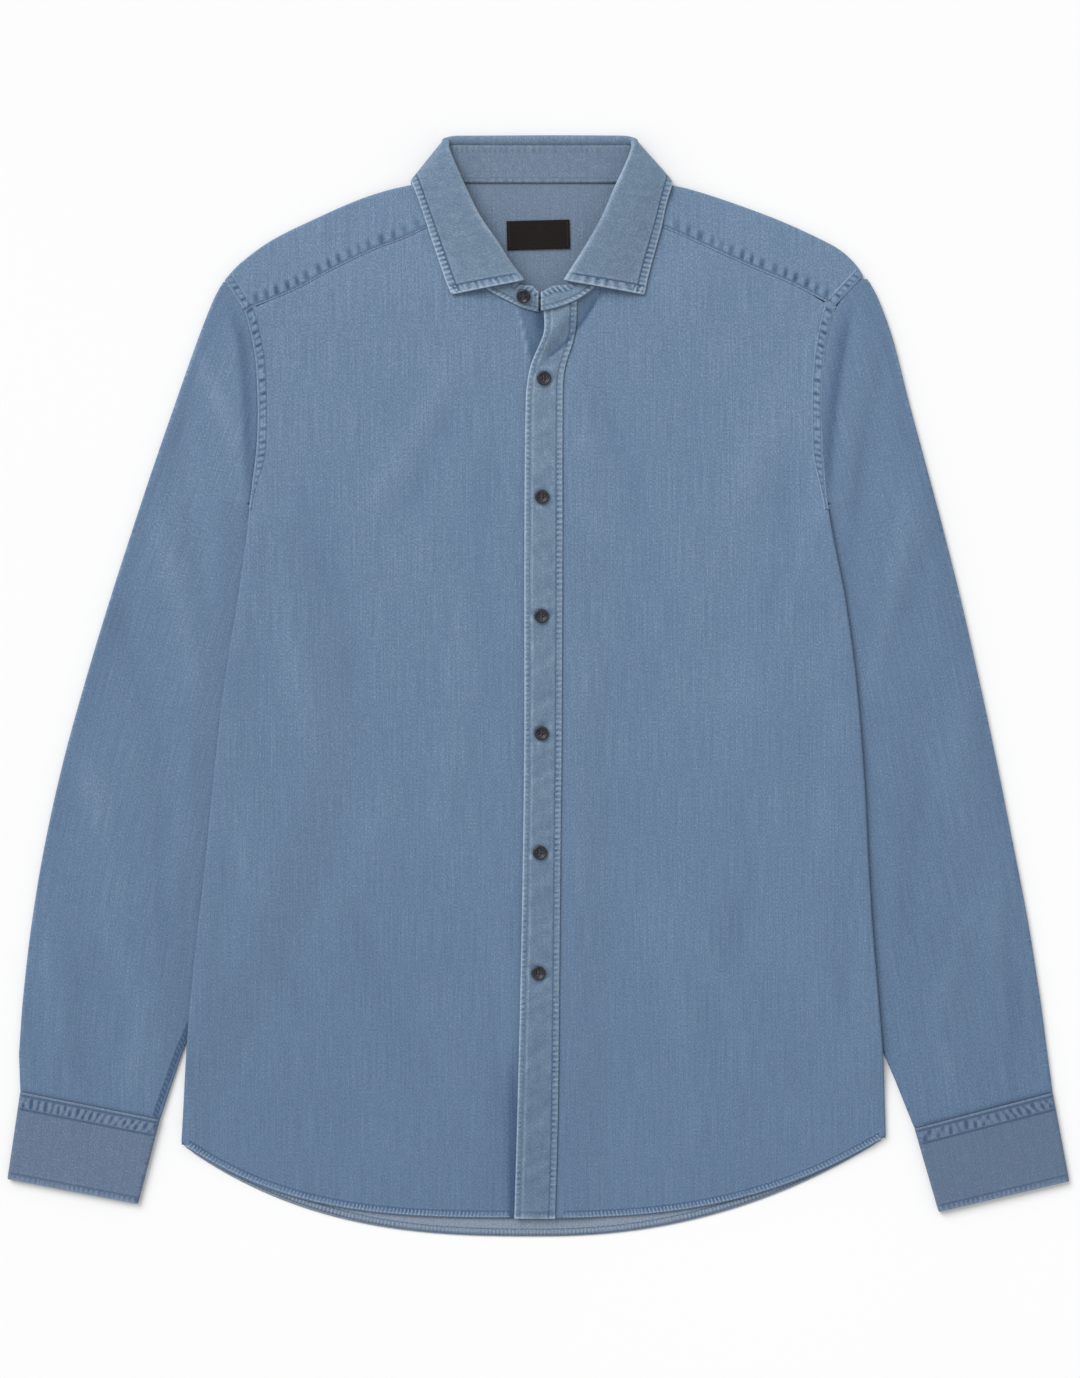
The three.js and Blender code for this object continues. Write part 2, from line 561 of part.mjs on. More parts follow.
// The yoke: over each shoulder from its front seam, round the fold, and down the back to its seam.
function yokeColumn(side, t) {
  const [seamOut, seamDown] = yokeSeam[side](t).toArray();
  const [foldOut, foldDown] = shoulderFold[side](t).toArray();
  const away = new THREE.Vector2(seamOut - foldOut, seamDown - foldDown);
  const depth = away.length();
  away.normalize();
  const upperAt = (d, x) => frontMiddle(side, x, d);
  const at = (distance) => [foldOut + away.x * distance, foldDown + away.y * distance];
  const inset = YOKE_FOLD_INSET;
  const bandEnd = depth - YOKE_BAND.wide;
  const plain = bandEnd - YOKE_BAND.slope;
  const distances = [[depth - 0.2, YOKE_BAND.lift], [bandEnd, YOKE_BAND.lift], [plain, 0]];
  for (const share of [0.55, 0.25, 0]) distances.push([lerp(inset, plain, share), 0]);
  const column = [];
  for (const [distance, lift] of distances) {
    const [out, down] = at(distance);
    const x = SIDES[side] * out;
    column.push({ p: place(x, down, upperAt(down, x)), lift });
  }
  const [insetOut, insetDown] = at(inset);
  const top = upperAt(insetDown, SIDES[side] * insetOut);
  const low = backMiddle(SIDES[side] * insetOut, insetDown);
  const radius = (top - low) / 2;
  for (const degrees of [45, 90, 135, 180]) {
    const turn = THREE.MathUtils.degToRad(degrees);
    const [out, down] = at(inset - (inset - CLOTH / 2) * Math.sin(turn));
    column.push({ p: place(SIDES[side] * out, down, low + radius * (1 + Math.cos(turn))) });
  }
  for (const share of YOKE_ROWS.slice(1)) {
    const down = lerp(insetDown, BACK_YOKE_DOWN - 0.15, share);
    const endOut = lerp(NECK_POINT_OUT, read(SIDE, side, BACK_YOKE_DOWN), t);
    const out = lerp(insetOut, endOut, share);
    const x = SIDES[side] * out;
    column.push({ p: place(x, down, backMiddle(x, down)) });
  }
  return column;
}

function yoke() {
  const sheet = new Sheet();
  for (const side of ["right", "left"]) {
    const columns = SEAM_STEPS.map((t) => yokeColumn(side, t));
    sheet.grid(side === "left" ? columns : columns.reverse());
  }
  // Behind the neck, from the collar's seam down, joined to the two shoulders' first columns.
  const lowerPart = (side) => yokeColumn(side, 0).slice(-YOKE_ROWS.length);
  const [first, last] = [lowerPart("right"), lowerPart("left")];
  const neckOuts = [-63, -42, -21, 0, 21, 42, 63];
  const behind = neckOuts.map((x) =>
    YOKE_ROWS.map((share) => {
      const edge = BACK_NECK_DOWN - 3 + 6 * (Math.abs(x) / NECK_POINT_OUT) ** 6;
      const down = lerp(edge, BACK_YOKE_DOWN - 0.15, share);
      return { p: place(x, down, backMiddle(x, down)) };
    }),
  );
  sheet.grid([first, ...behind, last]);
  return sheet;
}
add("yoke", yoke().wall(CLOTH, -1), MATERIALS.body);

// A flattened tube. Each row is a ring over the upper layer, round the inner fold, under and back.
function ringRow(planAt, width, lowAt, gapAt, across, thickness, open = false) {
  const upper = [];
  const lower = [];
  const edgeRadius = (u) => gapAt(...planAt(u)) / 2;
  const startRadius = edgeRadius(0.02);
  const endRadius = edgeRadius(0.98);
  const startInset = (thickness / 2 + startRadius) / width;
  const endInset = open ? 1 : 1 - (thickness / 2 + endRadius) / width;
  const us = across.map((share) => lerp(startInset, endInset, share));
  for (const u of us) {
    const [x, down] = planAt(u);
    const share = (u - startInset) / (endInset - startInset);
    const edges = lerp(startRadius, endRadius, share) * 2;
    const near = Math.min(share, open ? 1 : 1 - share) * width;
    const gap = lerp(edges, gapAt(x, down), smooth(near / 8));
    upper.push({ p: place(x, down, lowAt + gap) });
    lower.unshift({ p: place(x, down, lowAt) });
  }
  const arc = (insetShare, radius, sign) =>
    [45, 90, 135].map((degrees) => {
      const turn = THREE.MathUtils.degToRad(sign > 0 ? degrees : 180 - degrees);
      const u = insetShare + (sign * radius * Math.sin(turn)) / width;
      const [x, down] = planAt(u);
      return { p: place(x, down, lowAt + radius * (1 + Math.cos(turn))) };
    });
  const ring = [...upper, ...arc(endInset, endRadius, 1), ...lower, ...arc(startInset, startRadius, -1)];
  return [...ring, ring[0]];
}

function sleeveGap(side, x, down) {
  const fromBody = Math.abs(x) - read(SIDE, side, Math.min(down, 725));
  const beside = smooth((fromBody - 1.5) / 20);
  const open = lerp(1, beside, smooth((down - 262) / 14));
  const folds = SLEEVE_FOLDS[side];
  const calm = smooth((fromBody - 8) / 16) * smooth((read(SLEEVE_OUTER, side, down) - Math.abs(x)) / 14);
  return CLOTH + SEAM_GAP + (EDGE_HEIGHT - CLOTH - SEAM_GAP) * open + calm * foldHeight(folds, x, down);
}

// Rows across the sleeve: between points on its outer fold and on its inner side, which is the armhole
// seam as far as the armpit and a fold after that.
function sleeve(side) {
  const cuff = CUFF[side];
  const first = SLEEVE_HEAD_DOWNS[side][0];
  const beside = (down) => [read(SIDE, side, down) + ARMHOLE_GAP, down];
  const innerTop = [...SLEEVE_HEAD_DOWNS[side], ...ARMHOLE_DOWNS].map(beside);
  const fold = SLEEVE_FOLD_DOWNS.map((down) => [read(SLEEVE_INNER, side, down), down]);
  const inner = [...innerTop, ...fold, cuff.topIn];
  const above = (down) => lerp(first + 0.5, ARMPIT_OUTER_DOWN, (down - first) / (ARMPIT_DOWN - first));
  const below = (down) => {
    return lerp(ARMPIT_OUTER_DOWN, cuff.topOut[1], (down - ARMPIT_DOWN) / (cuff.topIn[1] - ARMPIT_DOWN));
  };
  const outer = inner.map(([, down], i) => {
    if (i === inner.length - 1) return cuff.topOut;
    const outerDown = down <= ARMPIT_DOWN ? above(down) : below(down);
    return [read(SLEEVE_OUTER, side, outerDown), outerDown];
  });
  const gapAt = (x, down) => sleeveGap(side, x, down);
  const rows = inner.map((end, i) => {
    const [from, to] = [new THREE.Vector2(...outer[i]), new THREE.Vector2(...end)];
    const planAt = (u) => {
      const q = from.clone().lerp(to, u);
      return [SIDES[side] * q.x, q.y];
    };
    const open = i < innerTop.length - 1;
    return ringRow(planAt, from.distanceTo(to), TABLE, gapAt, SLEEVE_ACROSS, CLOTH, open);
  });
  // Above the armpit the two layers end at the armhole; from it down they close round the inner fold.
  const armpit = innerTop.length - 1;
  const half = SLEEVE_ACROSS.length;
  const split = rows.slice(0, armpit + 1).map((ring) => [...ring.slice(half + 3), ...ring.slice(1, half)]);
  return new Sheet().grid(split).grid(rows.slice(armpit));
}

function cuffSheet(side) {
  const { topOut, topIn, endOut, endIn } = CUFF[side];
  const [a, b, c, d] = [topOut, topIn, endOut, endIn].map(([out, down]) => new THREE.Vector2(out, down));
  const length = a.distanceTo(c);
  const rows = [0.4, CUFF_BAND.wide, CUFF_BAND.wide + 0.7, 32, length - HEM.wide, length];
  const grid = rows.map((distance, r) => {
    const v = distance / length;
    const [from, to] = [a.clone().lerp(c, v), b.clone().lerp(d, v)];
    const planAt = (u) => {
      const q = from.clone().lerp(to, u);
      return [SIDES[side] * q.x, q.y];
    };
    const gapAt = () => CUFF_HEIGHT;
    const ring = ringRow(planAt, from.distanceTo(to), CUFF_CLOTH / 2, gapAt, CUFF_ACROSS, CUFF_CLOTH);
    return ring.map((q, i) => ({ p: q.p, lift: r < 2 && i < CUFF_ACROSS.length ? CUFF_BAND.lift : 0 }));
  });
  return new Sheet().grid(grid);
}

for (const side of ["right", "left"]) {
  add("sleeve_" + side, sleeve(side).wall(CLOTH), MATERIALS.body);
  add("cuff_" + side, cuffSheet(side).wall(CUFF_CLOTH), MATERIALS.body);
}

// The collar

const clothTop = (side, x, down) => frontMiddle(side, x, down) + CLOTH / 2;
const restOn = (top) => top + COLLAR_CLOTH / 2 + 0.6;

function collarCurve(side, rows, key, rest) {
  const points = rows.map((row) => {
    const [right, left, down, z] = row[key];
    const x = SIDES[side] * (side === "right" ? right : left);
    return place(x, down, z === null ? rest(side, x, down) : z);
  });
  const curve = new THREE.CatmullRomCurve3(points);
  return (s) => curve.getPoint(clamp(s / (points.length - 1)));
}

// At the neck seam the stand lies on the yoke behind, and on the fronts and the placket's top in front.
function neckRest(side, x, down) {
  if (down < 50) return restOn(backMiddle(x, down) + CLOTH / 2 - 0.3);
  const placket = side === "left" && x < 30 ? PLACKET_CLOTH + SEAM_GAP + 0.3 : 0;
  return restOn(clothTop(side, x, down) + placket);
}
const edgeRest = (side, x, down) => restOn(clothTop(side, x, down));
const standRows = [...COLLAR, ...STAND_END.map((row) => ({ roll: row.top, neck: row.neck }))];
const collarCurves = Object.fromEntries(
  ["right", "left"].map((side) => [side, {
    roll: collarCurve(side, COLLAR, "roll"),
    edge: collarCurve(side, COLLAR, "edge", edgeRest),
    neck: collarCurve(side, standRows, "neck", neckRest),
    standTop: collarCurve(side, standRows, "roll"),
  }]),
);
const LAST = COLLAR.length - 1;

// One section of the roll: the point where the stand's side starts and the points round to the fall's.
function rollSection(side, s) {
  const curves = collarCurves[side];
  const [roll, edge, neck] = [curves.roll(s), curves.edge(s), curves.neck(s)];
  const k = Math.min(LAST - 1, Math.floor(s));
  const turn = THREE.MathUtils.degToRad(lerp(COLLAR[k].turn, COLLAR[k + 1].turn, s - k));
  const facing = new THREE.Vector3(SIDES[side] * Math.sin(turn), 0, -Math.cos(turn));
  const up = roll.clone().sub(neck.clone().add(edge).multiplyScalar(0.5));
  up.addScaledVector(facing, -up.dot(facing)).normalize();
  const centre = roll.clone().addScaledVector(up, -ROLL_RADIUS);
  const around = (degrees) => {
    const angle = THREE.MathUtils.degToRad(degrees);
    const q = centre.clone().addScaledVector(up, ROLL_RADIUS * Math.cos(angle));
    return q.addScaledVector(facing, ROLL_RADIUS * Math.sin(angle));
  };
  return { around, edge, neck, turn };
}

function fallColumn(side, s) {
  const { around, edge, neck, turn } = rollSection(side, s);
  // The gap along the seam is wider where the collar turns out beside the neck and the seam runs askew.
  const askew = smooth((s - 4) / 1.5) * (1 - smooth((s - 7.5) / 1.5));
  const seam = STAND_SHARE + 0.018 + 0.035 * askew;
  const column = [neck.clone().lerp(around(-90), seam), ...[-90, -45, 0, 45, 90].map(around)];
  const lowest = COLLAR_CLOTH / 2 + 0.05;
  const start = around(90);
  const puff = 1.6 * smooth((THREE.MathUtils.radToDeg(turn) - 120) / 60);
  for (const share of [0.25, 0.5, 0.75, 1]) {
    const q = start.clone().lerp(edge, share);
    q.z = Math.max(lowest, q.z + puff * Math.sin(Math.PI * share));
    column.push(q);
  }
  return column.map((p) => ({ p }));
}

function standColumn(side, s) {
  const curves = collarCurves[side];
  const neck = curves.neck(s);
  const onRoll = s <= LAST ? rollSection(side, s).around(-90) : null;
  const top = curves.standTop(s);
  const fade = clamp(s - LAST);
  const start = rollSection(side, Math.min(s, LAST)).around(-90).sub(curves.roll(Math.min(s, LAST)));
  const end = onRoll ?? top.add(start.multiplyScalar(1 - fade));
  const share = onRoll ? STAND_SHARE : lerp(STAND_SHARE, 1, fade);
  return [0, 0.33, 0.66, 1].map((t) => ({ p: neck.clone().lerp(end, t * share) }));
}

const spread = (from, to, step) => steps(Math.round((to - from) / step)).map((t) => lerp(from, to, t));
function aroundNeck(column, stations) {
  const right = stations.slice(1).reverse().map((s) => column("right", s));
  return new Sheet().grid([...right, ...stations.map((s) => column("left", s))]);
}
const fallStations = [...spread(0, 3, 1), ...spread(3.5, LAST, 0.5)];
const standStations = [...fallStations, ...spread(LAST + 0.5, LAST + STAND_END.length, 0.5)];
add("collar_fall", aroundNeck(fallColumn, fallStations).wall(COLLAR_CLOTH), MATERIALS.band);
add("collar_stand", aroundNeck(standColumn, standStations).wall(COLLAR_CLOTH), MATERIALS.band);

// The label, on the inner side of the yoke behind the neck
function label() {
  const [cos, sin] = [Math.cos(LABEL.turn), Math.sin(LABEL.turn)];
  const rows = steps(3).map((v) =>
    steps(4).map((u) => {
      const [a, b] = [(u - 0.5) * LABEL.wide, (v - 0.5) * LABEL.high];
      const [x, down] = [LABEL.out + a * cos + b * sin, LABEL.down - a * sin + b * cos];
      return { p: place(x, down, backMiddle(x, down) + (CLOTH + LABEL_CLOTH) / 2 + SEAM_GAP + 0.1) };
    }),
  );
  return new Sheet().grid(rows);
}
add("neck_label", label().wall(LABEL_CLOTH, 1), MATERIALS.label);

// Buttons: a rim round a dished middle
const BUTTON_PROFILE = [
  [0, 0], [4.2, 0], [5.1, 0.6], [5.1, 1.6], [4.5, 2.4], [3.8, 2.4], [3.1, 1.6], [0, 1.4],
];
function button(name, centre, normal) {
  const turn = new THREE.Quaternion().setFromUnitVectors(new THREE.Vector3(0, 0, 1), normal);
  const rows = BUTTON_PROFILE.map(([radius, high]) =>
    steps(14).map((t) => {
      const angle = 2 * Math.PI * t;
      const q = new THREE.Vector3(radius * Math.cos(angle), radius * Math.sin(angle), high);
      return { p: q.applyQuaternion(turn).add(centre) };
    }),
  );
  add(name, new Sheet().grid(rows).closed(), MATERIALS.button);
}

for (const { name, x, down } of BUTTON_ROWS) {
  const seat = clothTop("left", x, down) + SEAM_GAP * 2 + PLACKET_CLOTH + 0.1;
  button(name, place(x, down, seat), new THREE.Vector3(0, 0, 1));
}
{
  const at = (s, t) => {
    const column = standColumn("right", s);
    return column[0].p.clone().lerp(column[3].p, t);
  };
  const centre = at(LAST + 0.75, 0.5);
  const forward = at(LAST + 1, 0.5).sub(at(LAST + 0.5, 0.5));
  const upward = at(LAST + 0.75, 1).sub(at(LAST + 0.75, 0));
  const normal = forward.cross(upward).normalize();
  if (normal.z < 0) normal.negate();
  button("collar_button", centre.addScaledVector(normal, COLLAR_CLOTH / 2 + SEAM_GAP + 0.1), normal);
}

// The origin is the middle of the shirt's box, on the table.
shirt.updateMatrixWorld(true);
const box = new THREE.Box3().setFromObject(shirt);
const middle = box.getCenter(new THREE.Vector3());
for (const mesh of shirt.children) mesh.geometry.translate(-middle.x, -middle.y, -box.min.z);

export default shirt;
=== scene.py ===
"""A long-sleeved denim shirt, laid flat on its back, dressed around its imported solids."""

import json
import math

import bpy
import numpy as np
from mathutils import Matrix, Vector

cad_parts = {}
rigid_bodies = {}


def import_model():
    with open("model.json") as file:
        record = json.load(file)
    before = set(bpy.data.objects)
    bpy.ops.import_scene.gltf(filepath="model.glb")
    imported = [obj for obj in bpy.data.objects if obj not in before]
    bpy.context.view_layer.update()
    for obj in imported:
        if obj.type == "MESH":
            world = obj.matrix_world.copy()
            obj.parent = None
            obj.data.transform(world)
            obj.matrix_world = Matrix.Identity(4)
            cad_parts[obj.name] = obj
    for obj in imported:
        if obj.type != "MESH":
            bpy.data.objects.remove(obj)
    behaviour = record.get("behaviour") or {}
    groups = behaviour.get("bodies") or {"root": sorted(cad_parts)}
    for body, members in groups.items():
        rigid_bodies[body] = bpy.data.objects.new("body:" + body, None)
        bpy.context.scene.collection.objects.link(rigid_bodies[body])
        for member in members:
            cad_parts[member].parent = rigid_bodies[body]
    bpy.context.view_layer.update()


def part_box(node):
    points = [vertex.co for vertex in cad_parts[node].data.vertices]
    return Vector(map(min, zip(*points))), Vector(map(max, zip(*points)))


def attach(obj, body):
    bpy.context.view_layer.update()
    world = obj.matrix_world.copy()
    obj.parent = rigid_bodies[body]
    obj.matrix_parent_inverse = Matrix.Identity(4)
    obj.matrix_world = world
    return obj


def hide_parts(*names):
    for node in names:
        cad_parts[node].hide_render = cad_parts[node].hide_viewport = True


bl_info = {
    "name": "Laid Denim Shirt",
    "version": (1, 0, 0),
    "blender": (4, 5, 0),
    "location": "3D View > Sidebar > Shirt",
    "description": "Sews a washed denim shirt, laid flat with its front up",
    "category": "Object",
}

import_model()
MM = 0.001

# Sizes in millimetres, as the shirt was cut. Plan positions are `out`, the distance from the centre
# line, and `down`, the distance below the top of the collar.
CLOTH = 1.2
SEEN_CLOTH = 0.9
COLLAR_CLOTH = 1.6
SEEN_COLLAR = 1.3
CUFF_CLOTH = 1.8
SEEN_CUFF = 1.5
PLACKET_CLOTH = 1.0
SEAM_GAP = 0.3
TABLE = CLOTH / 2
STACK = 2 * CLOTH + 2 * SEAM_GAP + 0.25
FALL_LIFT = COLLAR_CLOTH + SEAM_GAP + 0.15
EDGE_HEIGHT = 3.4
FOLD_RADIUS = (EDGE_HEIGHT - SEAM_GAP) / 2
FLAT_LOFT = 0.9
EDGE_LOFT = EDGE_HEIGHT - CLOTH
LIFT_RAMP = 46
EDGE_REACH = 26
ARMPIT_DOWN = 266
BACK_YOKE_DOWN = 118
BACK_NECK_DOWN = 34.3
CUFF_HEIGHT = 3.6
ROLL_RADIUS = 2.4
STAND_SHARE = 0.85
# A cut edge reaches this far over its seam's gap.
EDGE_REACH_OUT = 0.1
# Widths of the turned and felled edges, and how far from each edge its stitches run.
HEM_WIDE, HEM_STITCH = 5.9, 4.7
BACK_HEM_WIDE, BACK_HEM_STITCH = 6.2, 5.0
YOKE_SEAM_WIDE = 12.5
YOKE_STITCHES = (1.5, 6.2)
YOKE_END_WIDE = 7.4
ARMHOLE_WIDE, ARMHOLE_WIDE_LOW = 8.2, 3.6
UNDERARM_WIDE = 5.2
COLLAR_STITCH = 6.2
CUFF_STITCHES = (2.3, 12.0)
CUFF_END_STITCH = 4.7
LABEL_STITCH = 20.8
# The twill's drawn spacing, and the slant of its diagonal.
TWILL_DRAWN, TWILL_SLANT = 2.4, math.radians(33)
SIDES = {"right": -1, "left": 1}


def table(columns, *rows):
    """Named columns of numbers, a row per station."""
    return {name: np.array([row[i] for row in rows], float) for i, name in enumerate(columns.split())}


# The body's side in plan: the armhole seam down to the armpit, and below it the side edge.
SIDE = table(
    "down right left",
    (104, 226.4, 229.6), (113, 220.4, 220.5), (126, 212.5, 211.8), (140, 208.3, 208.0),
    (158, 204.6, 204.7), (180, 202.9, 203.0), (205, 202.4, 202.7), (228, 203.6, 203.5),
    (247, 205.9, 205.0), (266, 208.2, 206.8), (295, 211.8, 212.2), (334, 217.2, 219.8),
    (397, 227.2, 228.1), (470, 235.3, 233.8), (520, 240.2, 236.2), (574, 246.2, 239.6),
    (620, 251.0, 243.5), (665, 254.5, 247.0), (725, 258.0, 249.2),
)
# The sleeve's inner fold, which runs under the body from the armpit until it comes out above the cuff.
SLEEVE_INNER = table(
    "down right left",
    (266, 208.9, 207.5), (271, 210.3, 209.4), (277, 211.2, 210.9), (282, 211.2, 211.2),
    (288, 209.0, 209.4), (305, 199.0, 199.0), (345, 184.0, 184.0), (385, 177.0, 177.0),
    (430, 175.0, 175.0), (480, 182.0, 181.0), (530, 197.0, 195.0), (580, 218.0, 213.0),
    (620, 239.0, 229.5), (652, 254.0, 243.8), (682, 264.5, 256.5),
)
# The sleeve's outer fold, from the shoulder tip to the cuff.
SLEEVE_OUTER = table(
    "down right left",
    (104.4, 227.4, 236.6), (118, 234.7, 243.8), (147, 246.2, 254.2), (190, 261.4, 265.2),
    (233, 276.3, 276.8), (277, 291.0, 288.6), (334, 309.4, 303.0), (392, 326.9, 316.2),
    (449, 342.6, 328.4), (507, 355.6, 340.0), (565, 365.4, 351.2), (622, 372.0, 360.2),
    (658, 374.6, 364.9),
)
# The four corners of each flat cuff, as (out, down).
CUFF = {
    "right": {
        "top_out": (373.8, 687.6), "top_in": (272.9, 707.8),
        "end_out": (383.0, 750.2), "end_in": (288.7, 768.2),
    },
    "left": {
        "top_out": (369.0, 688.2), "top_in": (269.3, 714.2),
        "end_out": (380.9, 751.7), "end_in": (286.6, 774.0),
    },
}
# The shoulder's fold and the yoke's seam on the front, from the neck out, as (out, down).
SHOULDER = {
    "right": [
        (84, 34.3), (97, 36.8), (111, 40), (132.5, 47), (164.2, 61), (193, 75.4), (214.5, 91), (226, 103),
    ],
    "left": [
        (84, 34.3), (99, 36.8), (112, 40), (134.6, 47), (171.4, 60.6), (201.6, 74.3), (216, 82.3),
        (226, 91.2), (232.3, 100),
    ],
}
YOKE_SEAM = {
    "right": [(66, 61), (81, 67), (96.3, 74.2), (121, 83.6), (150.8, 98), (178, 112.5), (212.5, 126)],
    "left": [
        (66, 61), (78, 64.5), (92.5, 68.4), (124.9, 82.8), (150.1, 94.3), (179.6, 106.6), (211.8, 123.1),
    ],
}
FRONT_NECK = {
    "right": {
        "head": [(-8, 129), (-1, 126.5), (7, 123.8), (22, 119.5)],
        "rest": [(22, 119.5), (40, 108.5), (55, 88), (66, 61)],
    },
    "left": {
        "head": [(3, 124.3), (10.8, 120.5), (18.7, 117.4), (26.5, 114.5)],
        "rest": [(26.5, 114.5), (42, 106.5), (57, 88), (66, 61)],
    },
}
# The placket's two edges, and how far the right front reaches under it.
PLACKET = table(
    "down edge inner under",
    (127, 3.0, 26.5, 8.0), (135, 4.2, 26.2, 9.5), (143, 2.6, 25.2, 11.0), (153, -1.2, 22.6, 12.0),
    (163, -5.6, 19.2, 12.5), (173, -8.2, 17.2, 12.5), (190, -10.0, 16.5, 12.5), (300, -11.0, 16.3, 12.5),
    (430, -11.0, 15.8, 12.0), (515, -12.0, 14.9, 11.0), (602, -13.6, 14.1, 10.0), (709, -16.2, 12.9, 8.0),
    (800, -18.8, 10.4, 6.0),
)
TAIL = {
    "front": {"centre": 778.5, "right": 724.5, "left": 719.5, "power_right": 3.3, "power_left": 2.6},
    "back": {"centre": 792.0, "right": 726.0, "left": 721.0, "power_right": 2.7, "power_left": 2.15},
}
# The collar's sections from the centre back to the points: (right out, left out, down, height) of the
# roll, the fall's edge and the neck seam, and the way that the fall faces in degrees.
COLLAR = [
    ((0, 0, 0.8, 3.25), (0, 0, 47, 0.85), (0, 0, 34, None), 0),
    ((27, 27, 0.8, 3.25), (29, 29, 47, 0.85), (31, 31, 34, None), 0),
    ((49, 49, 0.8, 3.25), (54, 54, 46.6, 0.85), (57, 57, 34, None), 0),
    ((60.5, 60.5, 0.9, 3.25), (72, 73, 45, 0.85), (72, 72, 33.8, None), 0),
    ((65, 65, 1.5, 3.5), (84.5, 86, 41.5, 0.85), (79.5, 79.5, 33.2, 4.4), 25),
    ((67, 67, 2.4, 4.9), (91.8, 93.6, 36, 1.0), (82.4, 82.4, 32.8, 5.0), 55),
    ((67.5, 67.8, 3.6, 8.6), (92.6, 94.8, 33.4, 4.8), (81.4, 81.4, 34.8, 7.0), 95),
    ((66.5, 67, 8, 11.6), (91, 94.6, 37, 9.0), (78.3, 78.3, 39.3, 8.4), 140),
    ((62, 62.8, 19.4, 13.2), (85.5, 90.5, 51, None), (72.3, 72.3, 48.2, 9.2), 180),
    ((53, 53.5, 40, 13.9), (80.6, 87.4, 66, None), (66.8, 66.8, 60.5, None), 180),
    ((43, 45, 60, 14.2), (76, 83.6, 80, None), (60.5, 60.5, 78, None), 180),
    ((30.5, 35, 78, 14), (71.6, 80, 93, None), (51, 51, 95.5, None), 180),
    ((20, 24.8, 94, 13.4), (68, 77.4, 103.5, None), (38, 38, 110.5, None), 180),
    ((11.4, 17.5, 105.3, 12.6), (63.4, 75, 115, None), (24, 27, 118.5, None), 180),
]
STAND_END = [
    ((5.6, 9.6, 109.4, 12), (12, 13.5, 124, None)),
    ((0.9, 0.9, 114, 11.6), (0.9, 0.9, 127, None)),
]
LABEL = {"wide": 45, "high": 20.5, "out": -1.1, "down": 71.6, "turn": 0.025}
BUTTONS = [(2.9, 175.0), (1.4, 260.0), (1.1, 345.6), (1.1, 429.8), (0.0, 515.5), (-1.1, 602.0)]

# Soft folds: (x, down, half length, half width, heading in degrees, height). The first lot of each
# are the broad ones that the solids have too, and the rest are the creases that only the cloth shows.
BODY_FOLDS = [
    (-165, 250, 90, 24, 66, 0.7), (-120, 300, 110, 26, 54, -0.45), (-205, 560, 120, 18, 85, 0.8),
    (-70, 690, 100, 28, 52, 0.6), (120, 330, 140, 30, 92, 0.5), (165, 640, 110, 26, 112, 0.7),
    (60, 520, 160, 30, 86, -0.4),
]
BODY_CREASES = [
    (-97, 225, 60, 9, 118, 0.55), (-82, 238, 48, 8, 118, -0.45), (-150, 330, 70, 11, 75, -0.5),
    (-176, 380, 62, 9, 80, 0.5), (-208, 540, 70, 9, 80, 0.6), (-196, 575, 60, 8, 66, -0.5),
    (-60, 420, 80, 12, 96, 0.4), (-30, 700, 70, 8, 92, -0.6), (-24, 660, 85, 7, 88, 0.5),
    (36, 250, 60, 10, 82, 0.4), (58, 230, 70, 10, 74, -0.35), (150, 240, 60, 10, 110, 0.45),
    (172, 300, 75, 9, 98, -0.5), (95, 610, 75, 10, 78, 0.4), (140, 560, 80, 11, 100, -0.45),
    (128, 610, 60, 8, 62, 0.5), (206, 470, 70, 9, 94, 0.5), (218, 590, 60, 8, 88, -0.4),
    (-120, 600, 85, 12, 72, -0.4), (-130, 520, 60, 9, 112, 0.4), (30, 470, 110, 9, 90, 0.35),
    (-40, 300, 100, 10, 92, -0.3),
]
SLEEVE_FOLDS = {
    "right": [
        (-252, 250, 120, 9, 81.5, -1.3), (-288, 420, 130, 13, 74, -1.0), (-345, 560, 110, 16, 81.5, 0.6),
    ],
    "left": [
        (222, 200, 80, 10, 98.5, 0.9), (300, 470, 150, 20, 100.3, 0.7), (320, 640, 70, 14, 74.5, -0.6),
    ],
}
SLEEVE_CREASES = {
    "right": [
        (-232, 190, 60, 6, 70, 0.6), (-262, 330, 80, 8, 76, 0.5), (-300, 360, 90, 9, 70, -0.5),
        (-320, 480, 70, 9, 76, 0.5), (-270, 560, 60, 7, 88, -0.5), (-300, 600, 70, 8, 70, 0.5),
        (-330, 640, 50, 7, 84, -0.5), (-352, 620, 50, 6, 88, 0.4), (-290, 660, 40, 6, 100, 0.5),
    ],
    "left": [
        (232, 240, 70, 6, 100, -0.7), (252, 330, 90, 8, 104, 0.6), (280, 300, 80, 9, 112, -0.5),
        (308, 400, 80, 9, 106, 0.5), (268, 520, 70, 8, 95, -0.6), (300, 590, 60, 8, 110, 0.5),
        (340, 610, 70, 6, 88, -0.6), (330, 560, 60, 8, 96, 0.5), (290, 660, 40, 6, 80, 0.5),
    ],
}
BACK_CREASES = [
    (-60, 300, 120, 12, 84, 0.5), (70, 380, 140, 13, 98, 0.5), (0, 560, 120, 14, 90, -0.4),
    (-110, 520, 90, 10, 75, -0.5), (120, 560, 90, 10, 105, 0.4), (-40, 690, 80, 10, 80, 0.4),
]


# Small sums
def lerp(a, b, t):
    return a + (b - a) * t


def smooth(t):
    t = np.clip(t, 0, 1)
    return t * t * (3 - 2 * t)


def bell(distance, middle, width):
    """1 on the middle, and all but gone at twice the width from it."""
    return np.exp(-(((distance - middle) / width) ** 2))


